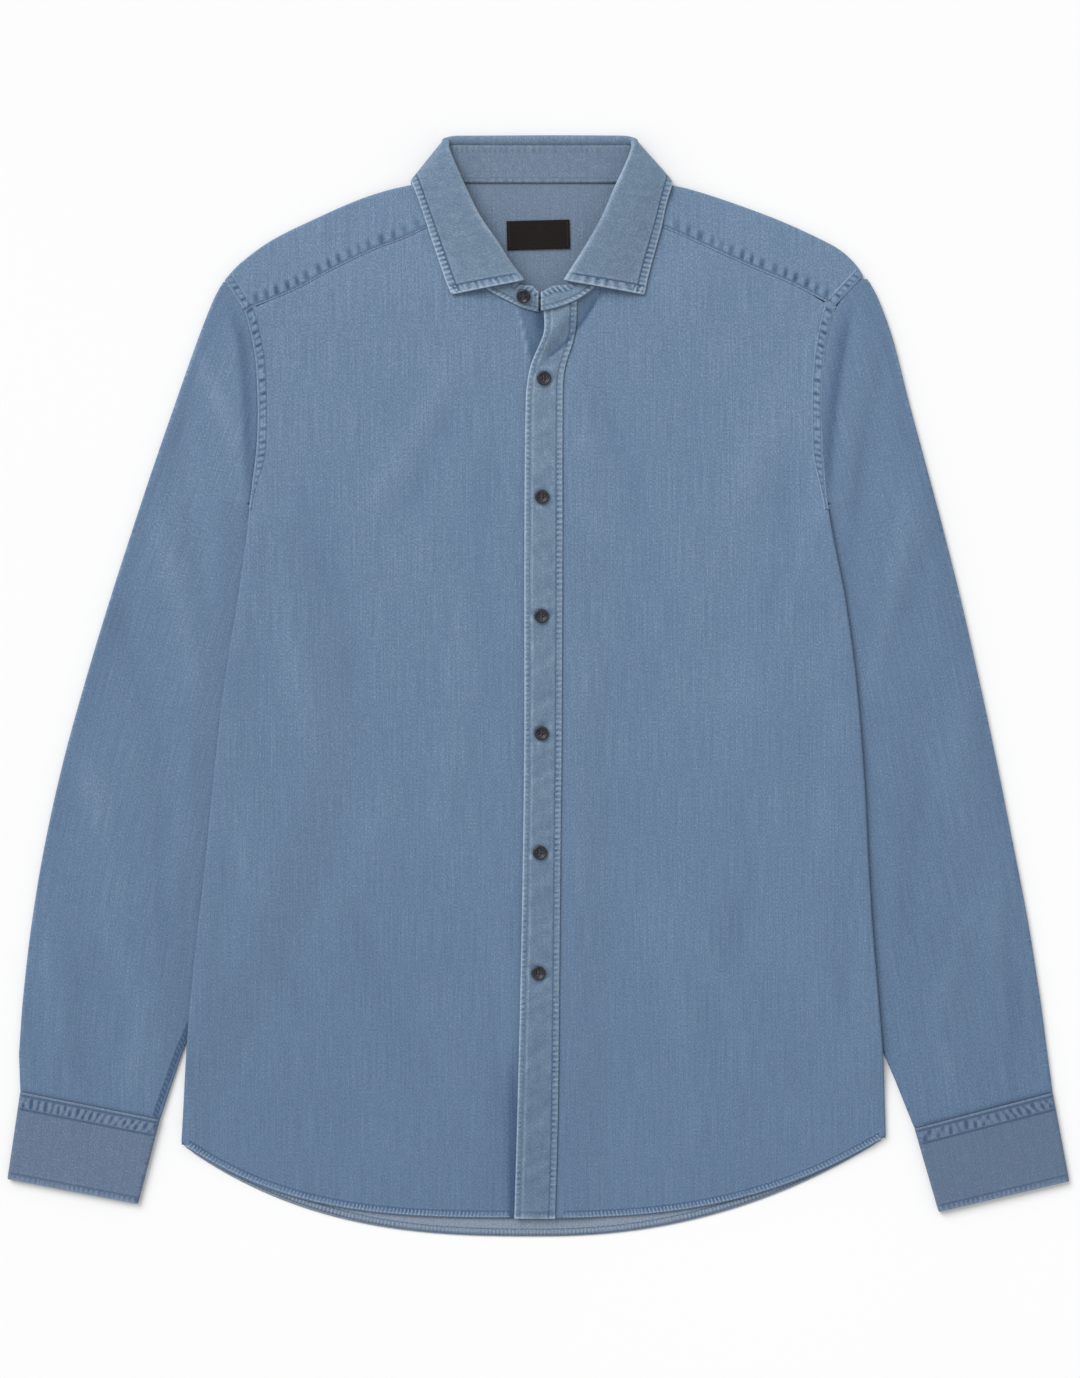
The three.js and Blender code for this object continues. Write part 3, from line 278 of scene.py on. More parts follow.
def read(rows, column, at):
    """A smooth curve through a table's rows, carried straight on past its ends."""
    xs, ys = rows["down"], rows[column]
    at = np.asarray(at, float)
    slopes = np.empty_like(ys)
    slopes[1:-1] = (ys[2:] - ys[:-2]) / (xs[2:] - xs[:-2])
    slopes[0] = (ys[1] - ys[0]) / (xs[1] - xs[0])
    slopes[-1] = (ys[-1] - ys[-2]) / (xs[-1] - xs[-2])
    i = np.clip(np.searchsorted(xs, at, side="right") - 1, 0, len(xs) - 2)
    wide = xs[i + 1] - xs[i]
    t = (at - xs[i]) / wide
    t2, t3 = t * t, t * t * t
    inside = (
        (2 * t3 - 3 * t2 + 1) * ys[i]
        + (t3 - 2 * t2 + t) * wide * slopes[i]
        + (3 * t2 - 2 * t3) * ys[i + 1]
        + (t3 - t2) * wide * slopes[i + 1]
    )
    before = ys[i] + slopes[i] * (at - xs[i])
    after = ys[i + 1] + slopes[i + 1] * (at - xs[i + 1])
    return np.where(t < 0, before, np.where(t > 1, after, inside))


def plan_curve(points):
    """An even-speed smooth curve through plan points, read by its share of length."""
    p = np.array(points, float)
    padded = np.vstack([p[0], p, p[-1]])
    dense = []
    for k in range(len(p) - 1):
        a, b, c, d = padded[k], padded[k + 1], padded[k + 2], padded[k + 3]
        t = np.linspace(0, 1, 80, endpoint=False)[:, None]
        v0, v1 = (c - a) / 2, (d - b) / 2
        dense.append((2 * b - 2 * c + v0 + v1) * t**3 + (-3 * b + 3 * c - 2 * v0 - v1) * t**2 + v0 * t + b)
    dense = np.vstack([*dense, p[-1]])
    length = np.concatenate([[0], np.cumsum(np.linalg.norm(np.diff(dense, axis=0), axis=1))])
    length /= length[-1]
    return lambda t: np.stack([np.interp(t, length, dense[:, i]) for i in range(dense.shape[1])], -1)


def space_curve(points):
    """The centripetal curve through points in space, read by row number."""
    p = np.array(points, float)
    n = len(p)

    def at(s):
        s = np.clip(np.asarray(s, float), 0, n - 1)
        result = []
        for one in np.atleast_1d(s):
            k = min(int(one), n - 2)
            w = one - k
            p0 = p[k - 1] if k > 0 else 2 * p[0] - p[1]
            p3 = p[k + 2] if k + 2 < n else 2 * p[-1] - p[-2]
            p1, p2 = p[k], p[k + 1]
            d0, d1, d2 = (max(np.sum((b - a) ** 2) ** 0.25, 1e-4) for a, b in ((p0, p1), (p1, p2), (p2, p3)))
            t1 = ((p1 - p0) / d0 - (p2 - p0) / (d0 + d1) + (p2 - p1) / d1) * d1
            t2 = ((p2 - p1) / d1 - (p3 - p1) / (d1 + d2) + (p3 - p2) / d2) * d1
            c2, c3 = -3 * p1 + 3 * p2 - 2 * t1 - t2, 2 * p1 - 2 * p2 + t1 + t2
            result.append(p1 + t1 * w + c2 * w * w + c3 * w**3)
        return np.array(result)

    return at


def folds(rows, x, down):
    total = np.zeros(np.broadcast(x, down).shape)
    for fx, fd, long, wide, heading, high in rows:
        turn = math.radians(heading)
        dx, dd = x - fx, down - fd
        along = (dx * math.cos(turn) + dd * math.sin(turn)) / long
        across = (dd * math.cos(turn) - dx * math.sin(turn)) / wide
        # A hand-pushed crease wanders a little and dies away unevenly.
        across = across + 0.25 * np.sin(along * 3.1 + fx)
        total = total + high * np.exp(-(along**2) - across**2) * (1 + 0.25 * np.sin(along * 5.3 + fd))
    return total


def ripple(s, seed, wave):
    """The uneven puckers along a washed seam, from -1 to 1, at `s` millimetres along it."""
    drift = 0.9 * np.sin(s / 23.0 + seed) + 0.6 * np.sin(s / 9.7 + 2.3 * seed)
    drift = drift + 0.45 * np.sin(s / 4.1 + 4.1 * seed)
    swell = 0.68 + 0.2 * np.sin(s / 31.0 + 1.7 * seed) + 0.22 * np.sin(s / 6.3 + 2.9 * seed)
    return np.sin(2 * math.pi * s / wave + drift) * swell


def to_line(line, x, down):
    """Distance to a plan line, positive on the right of its run, and how far along it, from 0 to 1."""
    line = np.asarray(line, float)
    length = arc_length(line)
    best, off, along = np.full(np.shape(x), 1e9), np.zeros(np.shape(x)), np.zeros(np.shape(x))
    for k, run in enumerate(np.diff(line, axis=0)):
        dx, dd = x - line[k][0], down - line[k][1]
        size = run @ run
        t = np.clip((dx * run[0] + dd * run[1]) / size, 0, 1)
        near = np.hypot(dx - t * run[0], dd - t * run[1])
        closer = near < best
        best = np.where(closer, near, best)
        off = np.where(closer, np.sign(run[0] * dd - run[1] * dx) * near, off)
        along = np.where(closer, (length[k] + t * math.sqrt(size)) / length[-1], along)
    return off, along


def crease(line, x, down, left, right, fade=0.2):
    """How deep a point lies in a crease, from 0 to 1, with its reach to each side of the line's run."""
    off, along = to_line(line, x, down)
    shown_part = smooth(along / fade) * smooth((1 - along) / fade)
    return np.exp(-((off / np.where(off > 0, right, left)) ** 2)) * shown_part


# Heights of the cloth, the same as in the solids
def by_side(rows, x, down):
    return np.where(np.asarray(x) < 0, read(rows, "right", down), read(rows, "left", down))


def back_middle(x, down):
    out = np.abs(x)
    over = smooth((out - by_side(SLEEVE_INNER, x, down) + LIFT_RAMP + 4) / LIFT_RAMP)
    sleeve = STACK * over * smooth((down - 261) / 21) * (1 - smooth((down - 658) / 40))
    neck = FALL_LIFT * (1 - smooth((down - 50) / 36)) * (1 - smooth((out - 99) / 34))
    return TABLE + sleeve + neck


def body_loft(x, down):
    from_edge = by_side(SIDE, x, down) - np.abs(x)
    edge = (EDGE_LOFT - FLAT_LOFT) * (1 - smooth(from_edge / EDGE_REACH))
    shoulder = (EDGE_LOFT - FLAT_LOFT) * (1 - smooth((down - 100) / 60))
    neck = 1.6 * (1 - smooth((np.abs(x) - 40) / 60)) * (1 - smooth((down - 128) / 70))
    calm = smooth(from_edge / 30) * (1 - smooth((down - 700) / 60)) * smooth((down - 130) / 60)
    broad = calm * (folds(BODY_FOLDS, x, down) + folds(BODY_CREASES, x, down))
    return FLAT_LOFT + np.maximum(edge, shoulder) + neck + np.maximum(broad, -0.75)


def right_opening(x, down):
    crest = lerp(-17.3, -6.8, (down - 125) / 39)
    return -1.6 * smooth((x - crest + 2) / 9) * (1 - smooth((down - 150) / 30))


def left_opening(x, down):
    over = (CLOTH + SEAM_GAP + 0.1) * (1 - smooth((x - 22) / 30))
    start, end = np.array((42.3, 115.2)), np.array((5.0, 161.3))
    length = np.linalg.norm(end - start)
    ux, ud = (end - start) / length
    off = (x - start[0]) * ud - (down - start[1]) * ux
    along = ((x - start[0]) * ux + (down - start[1]) * ud) / length
    shown = smooth((along + 0.6) / 0.5) * (1 - smooth((along - 0.75) / 0.45))
    return over + 1.7 * smooth(-off / 11) * shown - 0.7 * bell(off, 0, 4) * shown


def front_middle(side, x, down):
    opening = left_opening(x, down) if side == "left" else right_opening(x, down)
    return back_middle(x, down) + CLOTH + body_loft(x, down) + opening


def tail_down(part, x):
    tail = TAIL[part]

    def one(side):
        corner = read(SIDE, side, tail[side])
        return tail["centre"] - (tail["centre"] - tail[side]) * (np.abs(x) / corner) ** tail["power_" + side]

    return np.where(np.asarray(x) < 0, one("right"), one("left"))


def fold_share(down):
    return smooth((down - ARMPIT_DOWN - 2) / 20)


def side_limit(side, down):
    return read(SIDE, side, down) - fold_share(down) * CLOTH / 2


def place(x, down, z):
    x, down, z = np.broadcast_arrays(x, down, z)
    return np.stack([x, -down, z], -1).astype(float)


# Cloth meshes
def origin():
    """Where the drafting frame's zero stands in the row's frame, in metres, by the second button."""
    low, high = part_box("button_2")
    x, down = BUTTONS[1]
    return np.array([(low[0] + high[0]) / 2 - x * MM, (low[1] + high[1]) / 2 + down * MM, 0.0])


class Cloth:
    """Grids of points on the middle of a cloth, joined where they meet and closed into a wall."""

    def __init__(self):
        self.points, self.data, self.quads, self.count = [], [], [], 0

    def grid(self, points, weave, lift=0.0, wear_and_shade=0.0, inside=0.0, cut="tblr"):
        """Rows by columns of points. `cut` names the sides that end there: top, bottom, left and right."""
        rows, columns = points.shape[:2]
        shape = (rows, columns)
        points, soft = np.array(points, float), np.ones(shape)
        ends = {"t": (0, 1), "b": (-1, -2), "l": (0, 1), "r": (-1, -2)}
        for letter in cut:
            last, before = ends[letter]
            flat = points if letter in "tb" else points.swapaxes(0, 1)
            step = flat[last] - flat[before]
            size = np.maximum(np.linalg.norm(step, axis=1, keepdims=True), 1e-6)
            flat[last] += step / size * EDGE_REACH_OUT
            thin = soft if letter in "tb" else soft.T
            thin[last] = 0.5
        layers = [np.broadcast_to(np.asarray(v, float), shape) for v in (lift, wear_and_shade, soft, inside)]
        warp = np.broadcast_arrays(*weave, np.zeros(shape))[:2]
        self.points.append(points.reshape(-1, 3))
        self.data.append(np.stack([*layers, *warp], -1).reshape(rows * columns, 6))
        ids = self.count + np.arange(rows * columns).reshape(rows, columns)
        corners = [ids[:-1, :-1], ids[:-1, 1:], ids[1:, 1:], ids[1:, :-1]]
        self.quads.append(np.stack(corners, -1).reshape(-1, 4))
        self.count += rows * columns
        return self

    def merged(self, facing):
        points, data, quads = np.vstack(self.points), np.vstack(self.data), np.vstack(self.quads)
        keys = np.round(points * 200).astype(np.int64)
        _, first, back = np.unique(keys, axis=0, return_index=True, return_inverse=True)
        points, data, quads = points[first], data[first], back.reshape(-1)[quads]
        normals = np.zeros_like(points)
        face = np.cross(points[quads[:, 2]] - points[quads[:, 0]], points[quads[:, 3]] - points[quads[:, 1]])
        if facing == "out":
            turned = np.sum((points[quads].mean(1) - points.mean(0)) * face) < 0
        else:
            turned = face[:, 2].sum() * facing < 0
        if turned:
            quads, face = quads[:, ::-1], -face
        for k in range(4):
            np.add.at(normals, quads[:, k], face)
        normals /= np.maximum(np.linalg.norm(normals, axis=1, keepdims=True), 1e-9)
        return points, data, quads, normals

    def wall(self, thickness, facing):
        points, data, quads, normals = self.merged(facing)
        lift, wear_and_shade, soft, inside = (data[:, [i]] for i in range(4))
        outer = points + normals * (thickness / 2 * soft + lift)
        inner = points - normals * thickness / 2 * soft
        count = len(points)
        ends = np.stack([quads, np.roll(quads, -1, axis=1)], -1).reshape(-1, 2)
        ends = ends[ends[:, 0] != ends[:, 1]]
        codes = ends[:, 0] * count + ends[:, 1]
        rims = ends[~np.isin(ends[:, 1] * count + ends[:, 0], codes)]
        rim_faces = np.stack([rims[:, 0], count + rims[:, 0], count + rims[:, 1], rims[:, 1]], -1)
        faces = np.vstack([quads, (quads + count)[:, ::-1], rim_faces])
        weave = np.hstack([data[:, 4:6], np.zeros((count, 1))])
        return {
            "points": np.vstack([outer, inner]),
            "faces": faces,
            "cloth": np.vstack([weave, weave]),
            "wear_and_shade": np.vstack([wear_and_shade, wear_and_shade * 0.4]).ravel(),
            "inside": np.vstack([inside, np.ones((count, 1))]).ravel(),
        }


def sew(name, walls, material):
    """One mesh object from closed walls, with the cloth's own measures kept on its points."""
    count, faces = 0, []
    for wall in walls:
        faces += (wall["faces"] + count).tolist()
        count += len(wall["points"])
    kept = []
    for face in faces:
        loop = [v for i, v in enumerate(face) if v != face[i - 1]]
        if len(set(loop)) == len(loop) and len(loop) > 2:
            kept.append(loop)
    mesh = bpy.data.meshes.new(name)
    mesh.from_pydata((np.vstack([wall["points"] for wall in walls]) * MM + origin()).tolist(), [], kept)
    kinds = (("cloth", "FLOAT_VECTOR", "vector"), ("wear_and_shade", "FLOAT", "value"), ("inside", "FLOAT", "value"))
    for label, kind, key in kinds:
        values = np.concatenate([wall[label] for wall in walls])
        mesh.attributes.new(label, kind, "POINT").data.foreach_set(key, values.ravel())
    mesh.shade_smooth()
    return shown(name, mesh, material)


def shown(name, mesh, material):
    mesh.materials.append(material)
    piece = bpy.data.objects.new(name, mesh)
    bpy.context.scene.collection.objects.link(piece)
    return piece


def spread(start, end, step):
    """Even stations, with one more close to each end so that a cut edge is rounded there."""
    values = np.linspace(start, end, max(2, int(round(abs(end - start) / step)) + 1))
    near = 0.12 * (values[1] - values[0])
    return np.concatenate([values[:1], [start + near], values[1:-1], [end - near], values[-1:]])


def arc_length(points):
    return np.concatenate([[0], np.cumsum(np.linalg.norm(np.diff(points, axis=0), axis=1))])


def resample(points, step):
    points = np.asarray(points, float)
    length = arc_length(points)
    at = np.linspace(0, length[-1], max(3, int(round(length[-1] / step)) + 1))
    return np.stack([np.interp(at, length, points[:, i]) for i in range(points.shape[1])], -1), at


def offset_line(points, distance):
    """A plan line moved sideways, to the right of its run for a positive distance."""
    run = np.gradient(points, axis=0)
    run /= np.linalg.norm(run, axis=1, keepdims=True)
    return points + distance * np.stack([-run[:, 1], run[:, 0]], -1)


def stitched_edge(distance, along, line, seed, pitch=3.5, edge=0.7, tone=0.1, rung=0.5, ditch=0.8):
    """Lift and wear of a turned edge: rubbed pale, a pucker to each stitch, and the stitches' ditch."""
    wave = ripple(along, seed, pitch)
    zone = smooth(distance / 0.6) * smooth((line - distance) / 0.9)
    beyond = bell(distance - line, 1.5, 1.1)
    row = bell(distance, line, 0.5) * (0.75 + 0.25 * wave)
    dots = bell(distance - line, -1.2, 0.9) * np.clip(-wave, 0, 1)
    lift = 0.13 * wave * zone - 0.16 * row + 0.05 * wave * beyond
    wear_and_shade = edge * bell(distance, 0, 1.1) + zone * (tone + 0.5 * rung * wave)
    return lift, wear_and_shade - ditch * row - rung * dots + 0.12 * edge * beyond


def felled(distance, wide, along, seed, pitch=4.9, slant=0.35):
    """Lift and wear across a felled seam: a pale ridge and a row of stitches at each side, rungs between."""
    wave = 0.8 * ripple(along + slant * distance, seed, pitch)
    wave = wave + 0.4 * ripple(along - 0.3 * distance, seed + 3, 1.8 * pitch)
    other = wide - distance
    zone = smooth((distance - 1.4) / 1.2) * smooth((other - 1.2) / 1.0)
    ridges = 0.6 * bell(distance, 0.7, 0.7) + bell(other, 0.5, 0.6)
    ditches = 0.5 * bell(distance, 1.6, 0.5) + bell(other, 1.5, 0.45)
    lift = 0.2 * zone * wave - 0.12 * ditches
    wear_and_shade = 0.42 * ridges - 0.5 * ditches + zone * (1.5 * np.clip(wave, -1, 0.08) + 0.06)
    return lift, wear_and_shade


def seam_band(path, reach, height, rise, detail, seed, step=0.95, **shape):
    """A raised strip beside a plan line: `rise` gives its section, and `detail` its puckers and wear."""
    line, along = resample(path, step)
    across = np.linspace(0, 1, 15)
    reach = np.broadcast_to(reach, line.shape[:1])
    plan = np.stack([offset_line(line, reach[:, None] * a) for a in across], 1)
    distance = np.abs(reach)[:, None] * across[None, :]
    lift, wear_and_shade = detail(distance, np.abs(reach)[:, None], along[:, None] + 0 * distance, seed, **shape)
    lift = lift + np.interp(across, np.linspace(0, 1, len(rise)), rise)[None, :]
    points = place(plan[..., 0], plan[..., 1], height(plan[..., 0], plan[..., 1]))
    band = Cloth().grid(points, (plan[..., 0], plan[..., 1]), lift=lift, wear_and_shade=wear_and_shade)
    return band.wall(SEEN_CLOTH * 0.8, 1)


def hem_detail(distance, wide, along, seed):
    at = along + 0.2 * distance
    look = dict(pitch=2.7, edge=1.0, tone=-0.15, rung=0.9, ditch=1.5)
    return stitched_edge(distance, at, wide - 1.2, seed, **look)


def inner_hem_detail(distance, wide, along, seed):
    look = dict(pitch=2.7, edge=-0.3, tone=0.3, rung=0.5, ditch=0.5)
    lift, wear_and_shade = stitched_edge(distance, along, wide - 1.2, seed, **look)
    ticks = bell(distance, 0.9, 1.0) * (0.35 + 0.9 * np.clip(ripple(along, seed, 2.7), -1, 0.2) ** 2)
    return lift, wear_and_shade - 1.5 * ticks + 0.5 * smooth((distance - wide + 1.8) / 1.4)


def underarm_detail(distance, wide, along, seed):
    look = dict(pitch=3.8, edge=0.1, tone=-0.75, rung=0.9, ditch=0.9)
    return stitched_edge(distance, along + 0.8 * distance, wide - 1.0, seed, **look)


def yoke_detail(distance, wide, along, seed):
    """The yoke's seam: a thin pale fold, its row of stitches, and the broad dark puckers above them."""
    wave = ripple(along + 0.2 * distance, seed, 8.6)
    zone = smooth((distance - 2.3) / 0.8) * smooth((wide - 1.2 - distance) / 5.5)
    row = bell(distance, 2.1, 0.5)
    blot = np.clip(wave, -1, 0.12) * zone
    lift = 0.14 * blot - 0.12 * row
    wear_and_shade = 0.4 * bell(distance, 1.0, 0.6) - 0.75 * row - 0.35 * bell(distance, 0, 0.4)
    return lift, wear_and_shade + 1.05 * blot


# Stitches
def stitches(name, lines, material, length=2.7, gap=0.9, thick=0.32, sink=0.1):
    """Short rounded threads along lines of points in space that lie on the cloth."""
    ring = [(math.cos(a), math.sin(a)) for a in np.arange(5) * 2 * math.pi / 5]
    profile = [(-0.5, 0.0), (-0.42, 0.75), (0.0, 1.0), (0.42, 0.75), (0.5, 0.0)]
    middle = [(u, r * a, r * b) for u, r in profile[1:-1] for a, b in ring]
    shape = np.array([(profile[0][0], 0, 0), *middle, (profile[-1][0], 0, 0)])
    faces = [(0, 1 + (k + 1) % 5, 1 + k) for k in range(5)]
    for j in range(2):
        for k in range(5):
            a, b = 1 + j * 5 + k, 1 + j * 5 + (k + 1) % 5
            faces.append((a, b, b + 5, a + 5))
    faces += [(16, 11 + k, 11 + (k + 1) % 5) for k in range(5)]
    points, cells, count = [], [], 0
    for line in lines:
        line = np.asarray(line, float)
        along = arc_length(line)
        for start in np.arange(gap, along[-1] - length, length + gap):
            ends = (start, start + length)
            a, b = (np.array([np.interp(t, along, line[:, i]) for i in range(3)]) for t in ends)
            run = (b - a) / max(np.linalg.norm(b - a), 1e-6)
            beside = np.cross((0, 0, 1), run)
            beside /= max(np.linalg.norm(beside), 1e-6)
            up = np.cross(run, beside)
            centre = (a + b) / 2 - up * sink
            around = shape[:, 1:2] * beside + shape[:, 2:] * up * 0.8
            points.append(centre + shape[:, :1] * run * length + around * thick)
            cells += [[v + count for v in face] for face in faces]
            count += len(shape)
    mesh = bpy.data.meshes.new(name)
    mesh.from_pydata((np.vstack(points) * MM + origin()).tolist(), [], cells)
    mesh.shade_smooth()
    return shown(name, mesh, material)


# Materials
def linear(hex_colour):
    """The linear colour of an sRGB hex, with alpha."""
    parts = [int(hex_colour[i : i + 2], 16) / 255 for i in (1, 3, 5)]
    return (*((c / 12.92 if c <= 0.04045 else ((c + 0.055) / 1.055) ** 2.4) for c in parts), 1.0)


def add_node(tree, kind, inputs=None, **settings):
    """A node with its settings, and its inputs given as values or linked from sockets."""
    made = tree.nodes.new(kind)
    for name, value in settings.items():
        setattr(made, name, value)
    for name, value in (inputs or {}).items():
        if isinstance(value, bpy.types.NodeSocket):
            tree.links.new(value, made.inputs[name])
        else:
            made.inputs[name].default_value = value
    return made


def new_material(name, roughness, sheen=0.0):
    material = bpy.data.materials.new(name)
    material.use_nodes = True
    tree = material.node_tree
    shader = tree.nodes["Principled BSDF"]
    shader.inputs["Roughness"].default_value = roughness
    shader.inputs["Specular IOR Level"].default_value = 0.25
    shader.inputs["Sheen Weight"].default_value = sheen
    shader.inputs["Sheen Roughness"].default_value = 0.6
    return material, tree, shader


def math_node(tree, operation, a, b=0.0, clamp=False):
    return add_node(tree, "ShaderNodeMath", {0: a, 1: b}, operation=operation, use_clamp=clamp).outputs[0]


def cloth_noise(tree, cloth, wide, long, detail=2.0, rough=0.5):
    """Noise `wide` by `long` millimetres over the cloth's own measures."""
    size = (1 / wide, 1 / long, 1)
    scaled = add_node(tree, "ShaderNodeMapping", {"Vector": cloth, "Scale": size}).outputs[0]
    return add_node(
        tree, "ShaderNodeTexNoise", {"Vector": scaled, "Scale": 1.0, "Detail": detail, "Roughness": rough}
    ).outputs["Fac"]


def denim(name, face, pale, deep, inner, mottle=1.0):
    """Washed indigo twill: a fine speckle, straight warp streaks, and paler ridges where it has rubbed."""
    material, tree, shader = new_material(name, 0.9, 0.12)
    cloth = add_node(tree, "ShaderNodeAttribute", attribute_name="cloth").outputs["Vector"]
    # This attribute carries the cloth's rubbed wear together with painted shade in creases, in folds and
    # beside other parts.
    wear_and_shade = add_node(tree, "ShaderNodeAttribute", attribute_name="wear_and_shade").outputs["Fac"]
    inside = add_node(tree, "ShaderNodeAttribute", attribute_name="inside").outputs["Fac"]
    # Slubs are thick places in the warp yarn: long, thin, straight streaks down the cloth.
    slub = cloth_noise(tree, cloth, 1.0, 46, 1.0, 0.5)
    # White weft shows between worn warp yarns as a speckle, drawn 1 mm wide so that the camera can hold it.
    fine = cloth_noise(tree, cloth, 1.0, 1.4, 2.0, 0.7)
    # Washing leaves broad, soft clouds of lighter and darker blue.
    cloud = cloth_noise(tree, cloth, 90, 130, 2.0, 0.5)
    # Doubled cloth rubs against its own seam allowances, which mottles it.
    blotch = cloth_noise(tree, cloth, 4.5, 7.0, 2.0, 0.6)
    # The twill's diagonal is 0.8 mm apart in the cloth.
    # It is drawn at 2.4 mm, so that the camera can hold it.
    turned = add_node(
        tree, "ShaderNodeMapping", {"Vector": cloth, "Rotation": (0, 0, TWILL_SLANT), "Scale": (1, 1, 1)}
    ).outputs[0]
    twill = add_node(
        tree,
        "ShaderNodeTexWave",
        {
            "Vector": turned, "Scale": 2 * math.pi / (20 * TWILL_DRAWN),
            "Distortion": 1.6, "Detail": 1.0, "Detail Scale": 3.0,
        },
    ).outputs["Fac"]
    tone = math_node(tree, "MULTIPLY", wear_and_shade, 0.5)
    amounts = ((slub, 0.26 / mottle), (fine, 0.84), (cloud, 0.1), (blotch, 0.14 * mottle), (twill, 0.02))
    for source, amount in amounts:
        centred = math_node(tree, "MULTIPLY_ADD", source, amount)
        centred.node.inputs[2].default_value = -0.5 * amount
        tone = math_node(tree, "ADD", tone, centred)
    tone = math_node(tree, "ADD", tone, 0.5, clamp=True)
    ramp = add_node(tree, "ShaderNodeValToRGB", {"Fac": tone})
    ramp.color_ramp.elements[0].color = deep
    ramp.color_ramp.elements[1].color = pale
    ramp.color_ramp.elements.new(0.5).color = face
    reverse = add_node(tree, "ShaderNodeMix", data_type="RGBA", blend_type="MIX")
    tree.links.new(inside, reverse.inputs["Factor"])
    tree.links.new(ramp.outputs["Color"], reverse.inputs["A"])
    lighter = add_node(tree, "ShaderNodeValToRGB", {"Fac": tone})
    lighter.color_ramp.elements[0].color = linear("#4e5b71")
    lighter.color_ramp.elements[1].color = linear("#a4a9b2")
    lighter.color_ramp.elements.new(0.5).color = inner
    tree.links.new(lighter.outputs["Color"], reverse.inputs["B"])
    tree.links.new(reverse.outputs["Result"], shader.inputs["Base Color"])
    threads = math_node(tree, "ADD", slub, fine)
    height = math_node(tree, "ADD", math_node(tree, "MULTIPLY", twill, 0.4), threads)
    bump = add_node(tree, "ShaderNodeBump", {"Height": height, "Strength": 0.2, "Distance": 0.0004})
    tree.links.new(bump.outputs["Normal"], shader.inputs["Normal"])
    return material


def thread_finish(name, dark, light):
    """Spun polyester core thread, faded with the shirt, with its twist as a fine light and dark."""
    material, tree, shader = new_material(name, 0.75, 0.1)
    where = add_node(tree, "ShaderNodeTexCoord").outputs["Object"]
    fibres = {"Vector": where, "Scale": 900.0, "Detail": 2.0}
    twist = add_node(tree, "ShaderNodeTexNoise", fibres).outputs["Fac"]
    ramp = add_node(tree, "ShaderNodeValToRGB", {"Fac": twist})
    ramp.color_ramp.elements[0].color = dark
    ramp.color_ramp.elements[1].color = light
    tree.links.new(ramp.outputs["Color"], shader.inputs["Base Color"])
    return material


def woven_label(name, dark, light):
    """Damask label tape: fine dark ribs with a low silky painted sheen along them."""
    material, tree, shader = new_material(name, 0.8)
    shader.inputs["Specular IOR Level"].default_value = 0.1
    where = add_node(tree, "ShaderNodeTexCoord").outputs["Object"]
    rows = {"Vector": where, "Scale": 260.0, "Distortion": 0.4}
    ribs = add_node(tree, "ShaderNodeTexWave", rows, bands_direction="Y")
    specks = {"Vector": where, "Scale": 700.0, "Detail": 2.0}
    grain = add_node(tree, "ShaderNodeTexNoise", specks).outputs["Fac"]
    tone = math_node(tree, "MULTIPLY", ribs.outputs["Fac"], grain)
    ramp = add_node(tree, "ShaderNodeValToRGB", {"Fac": tone})
    ramp.color_ramp.elements[0].color = dark
    ramp.color_ramp.elements[1].color = light
    tree.links.new(ramp.outputs["Color"], shader.inputs["Base Color"])
    bump = add_node(tree, "ShaderNodeBump", {"Height": tone, "Strength": 0.3, "Distance": 0.0002})
    tree.links.new(bump.outputs["Normal"], shader.inputs["Normal"])
    return material


def horn_resin(name, dark, light):
    """Cast polyester button, near black with brown-blue clouds and a soft polish."""
    material, tree, shader = new_material(name, 0.32)
    shader.inputs["Specular IOR Level"].default_value = 0.5
    where = add_node(tree, "ShaderNodeTexCoord").outputs["Object"]
    swirls = {"Vector": where, "Scale": 260.0, "Detail": 3.0, "Distortion": 0.8}
    cloud = add_node(tree, "ShaderNodeTexNoise", swirls).outputs["Fac"]
    ramp = add_node(tree, "ShaderNodeValToRGB", {"Fac": cloud})
    ramp.color_ramp.elements[0].position = 0.35
    ramp.color_ramp.elements[0].color = dark
    ramp.color_ramp.elements[1].position = 0.75
    ramp.color_ramp.elements[1].color = light
    tree.links.new(ramp.outputs["Color"], shader.inputs["Base Color"])
    rough = add_node(tree, "ShaderNodeMapRange", {"Value": cloud, "To Min": 0.26, "To Max": 0.42})
    tree.links.new(rough.outputs["Result"], shader.inputs["Roughness"])
    return material


FINISHES = {}


def rgba(colour):
    return (*colour, 1.0)


def finish_for(kind):
    """The shirt's finishes, each made once."""
    if not FINISHES:
        colours = bpy.context.scene.shirt_colours
        chosen = (colours.face, colours.pale, colours.deep, colours.inner)
        face, pale, deep, inner = (rgba(colour) for colour in chosen)
        band, cuff, thread = rgba(colours.band), rgba(colours.cuff), rgba(colours.thread)
        FINISHES["denim"] = denim("washed denim", face, pale, deep, inner)
        FINISHES["band"] = denim("washed denim, rubbed bands", band, pale, deep, inner, 2.2)
        FINISHES["cuff"] = denim("washed denim, cuffs", cuff, linear("#8c9db3"), deep, inner, 1.2)
        FINISHES["thread"] = thread_finish("blue-grey topstitching", deep, thread)
        FINISHES["label"] = woven_label("woven label tape", rgba(colours.label), linear("#2e2b28"))
        FINISHES["label thread"] = thread_finish("label stitching", linear("#26241f"), linear("#4c4943"))
        FINISHES["button"] = horn_resin("cast resin buttons", rgba(colours.button), linear("#34343f"))
        FINISHES["button thread"] = thread_finish("button thread", linear("#2c2e38"), linear("#55586a"))
    return FINISHES[kind]


def belongs(piece, slot, *nodes):
    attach(piece, "root")
    if nodes:
        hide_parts(*nodes)
    return piece


# Panels
shoulder_fold = {side: plan_curve(SHOULDER[side]) for side in SIDES}
yoke_seam = {side: plan_curve(YOKE_SEAM[side]) for side in SIDES}
BAND = 8.6
FIRST_DOWN = 126.6


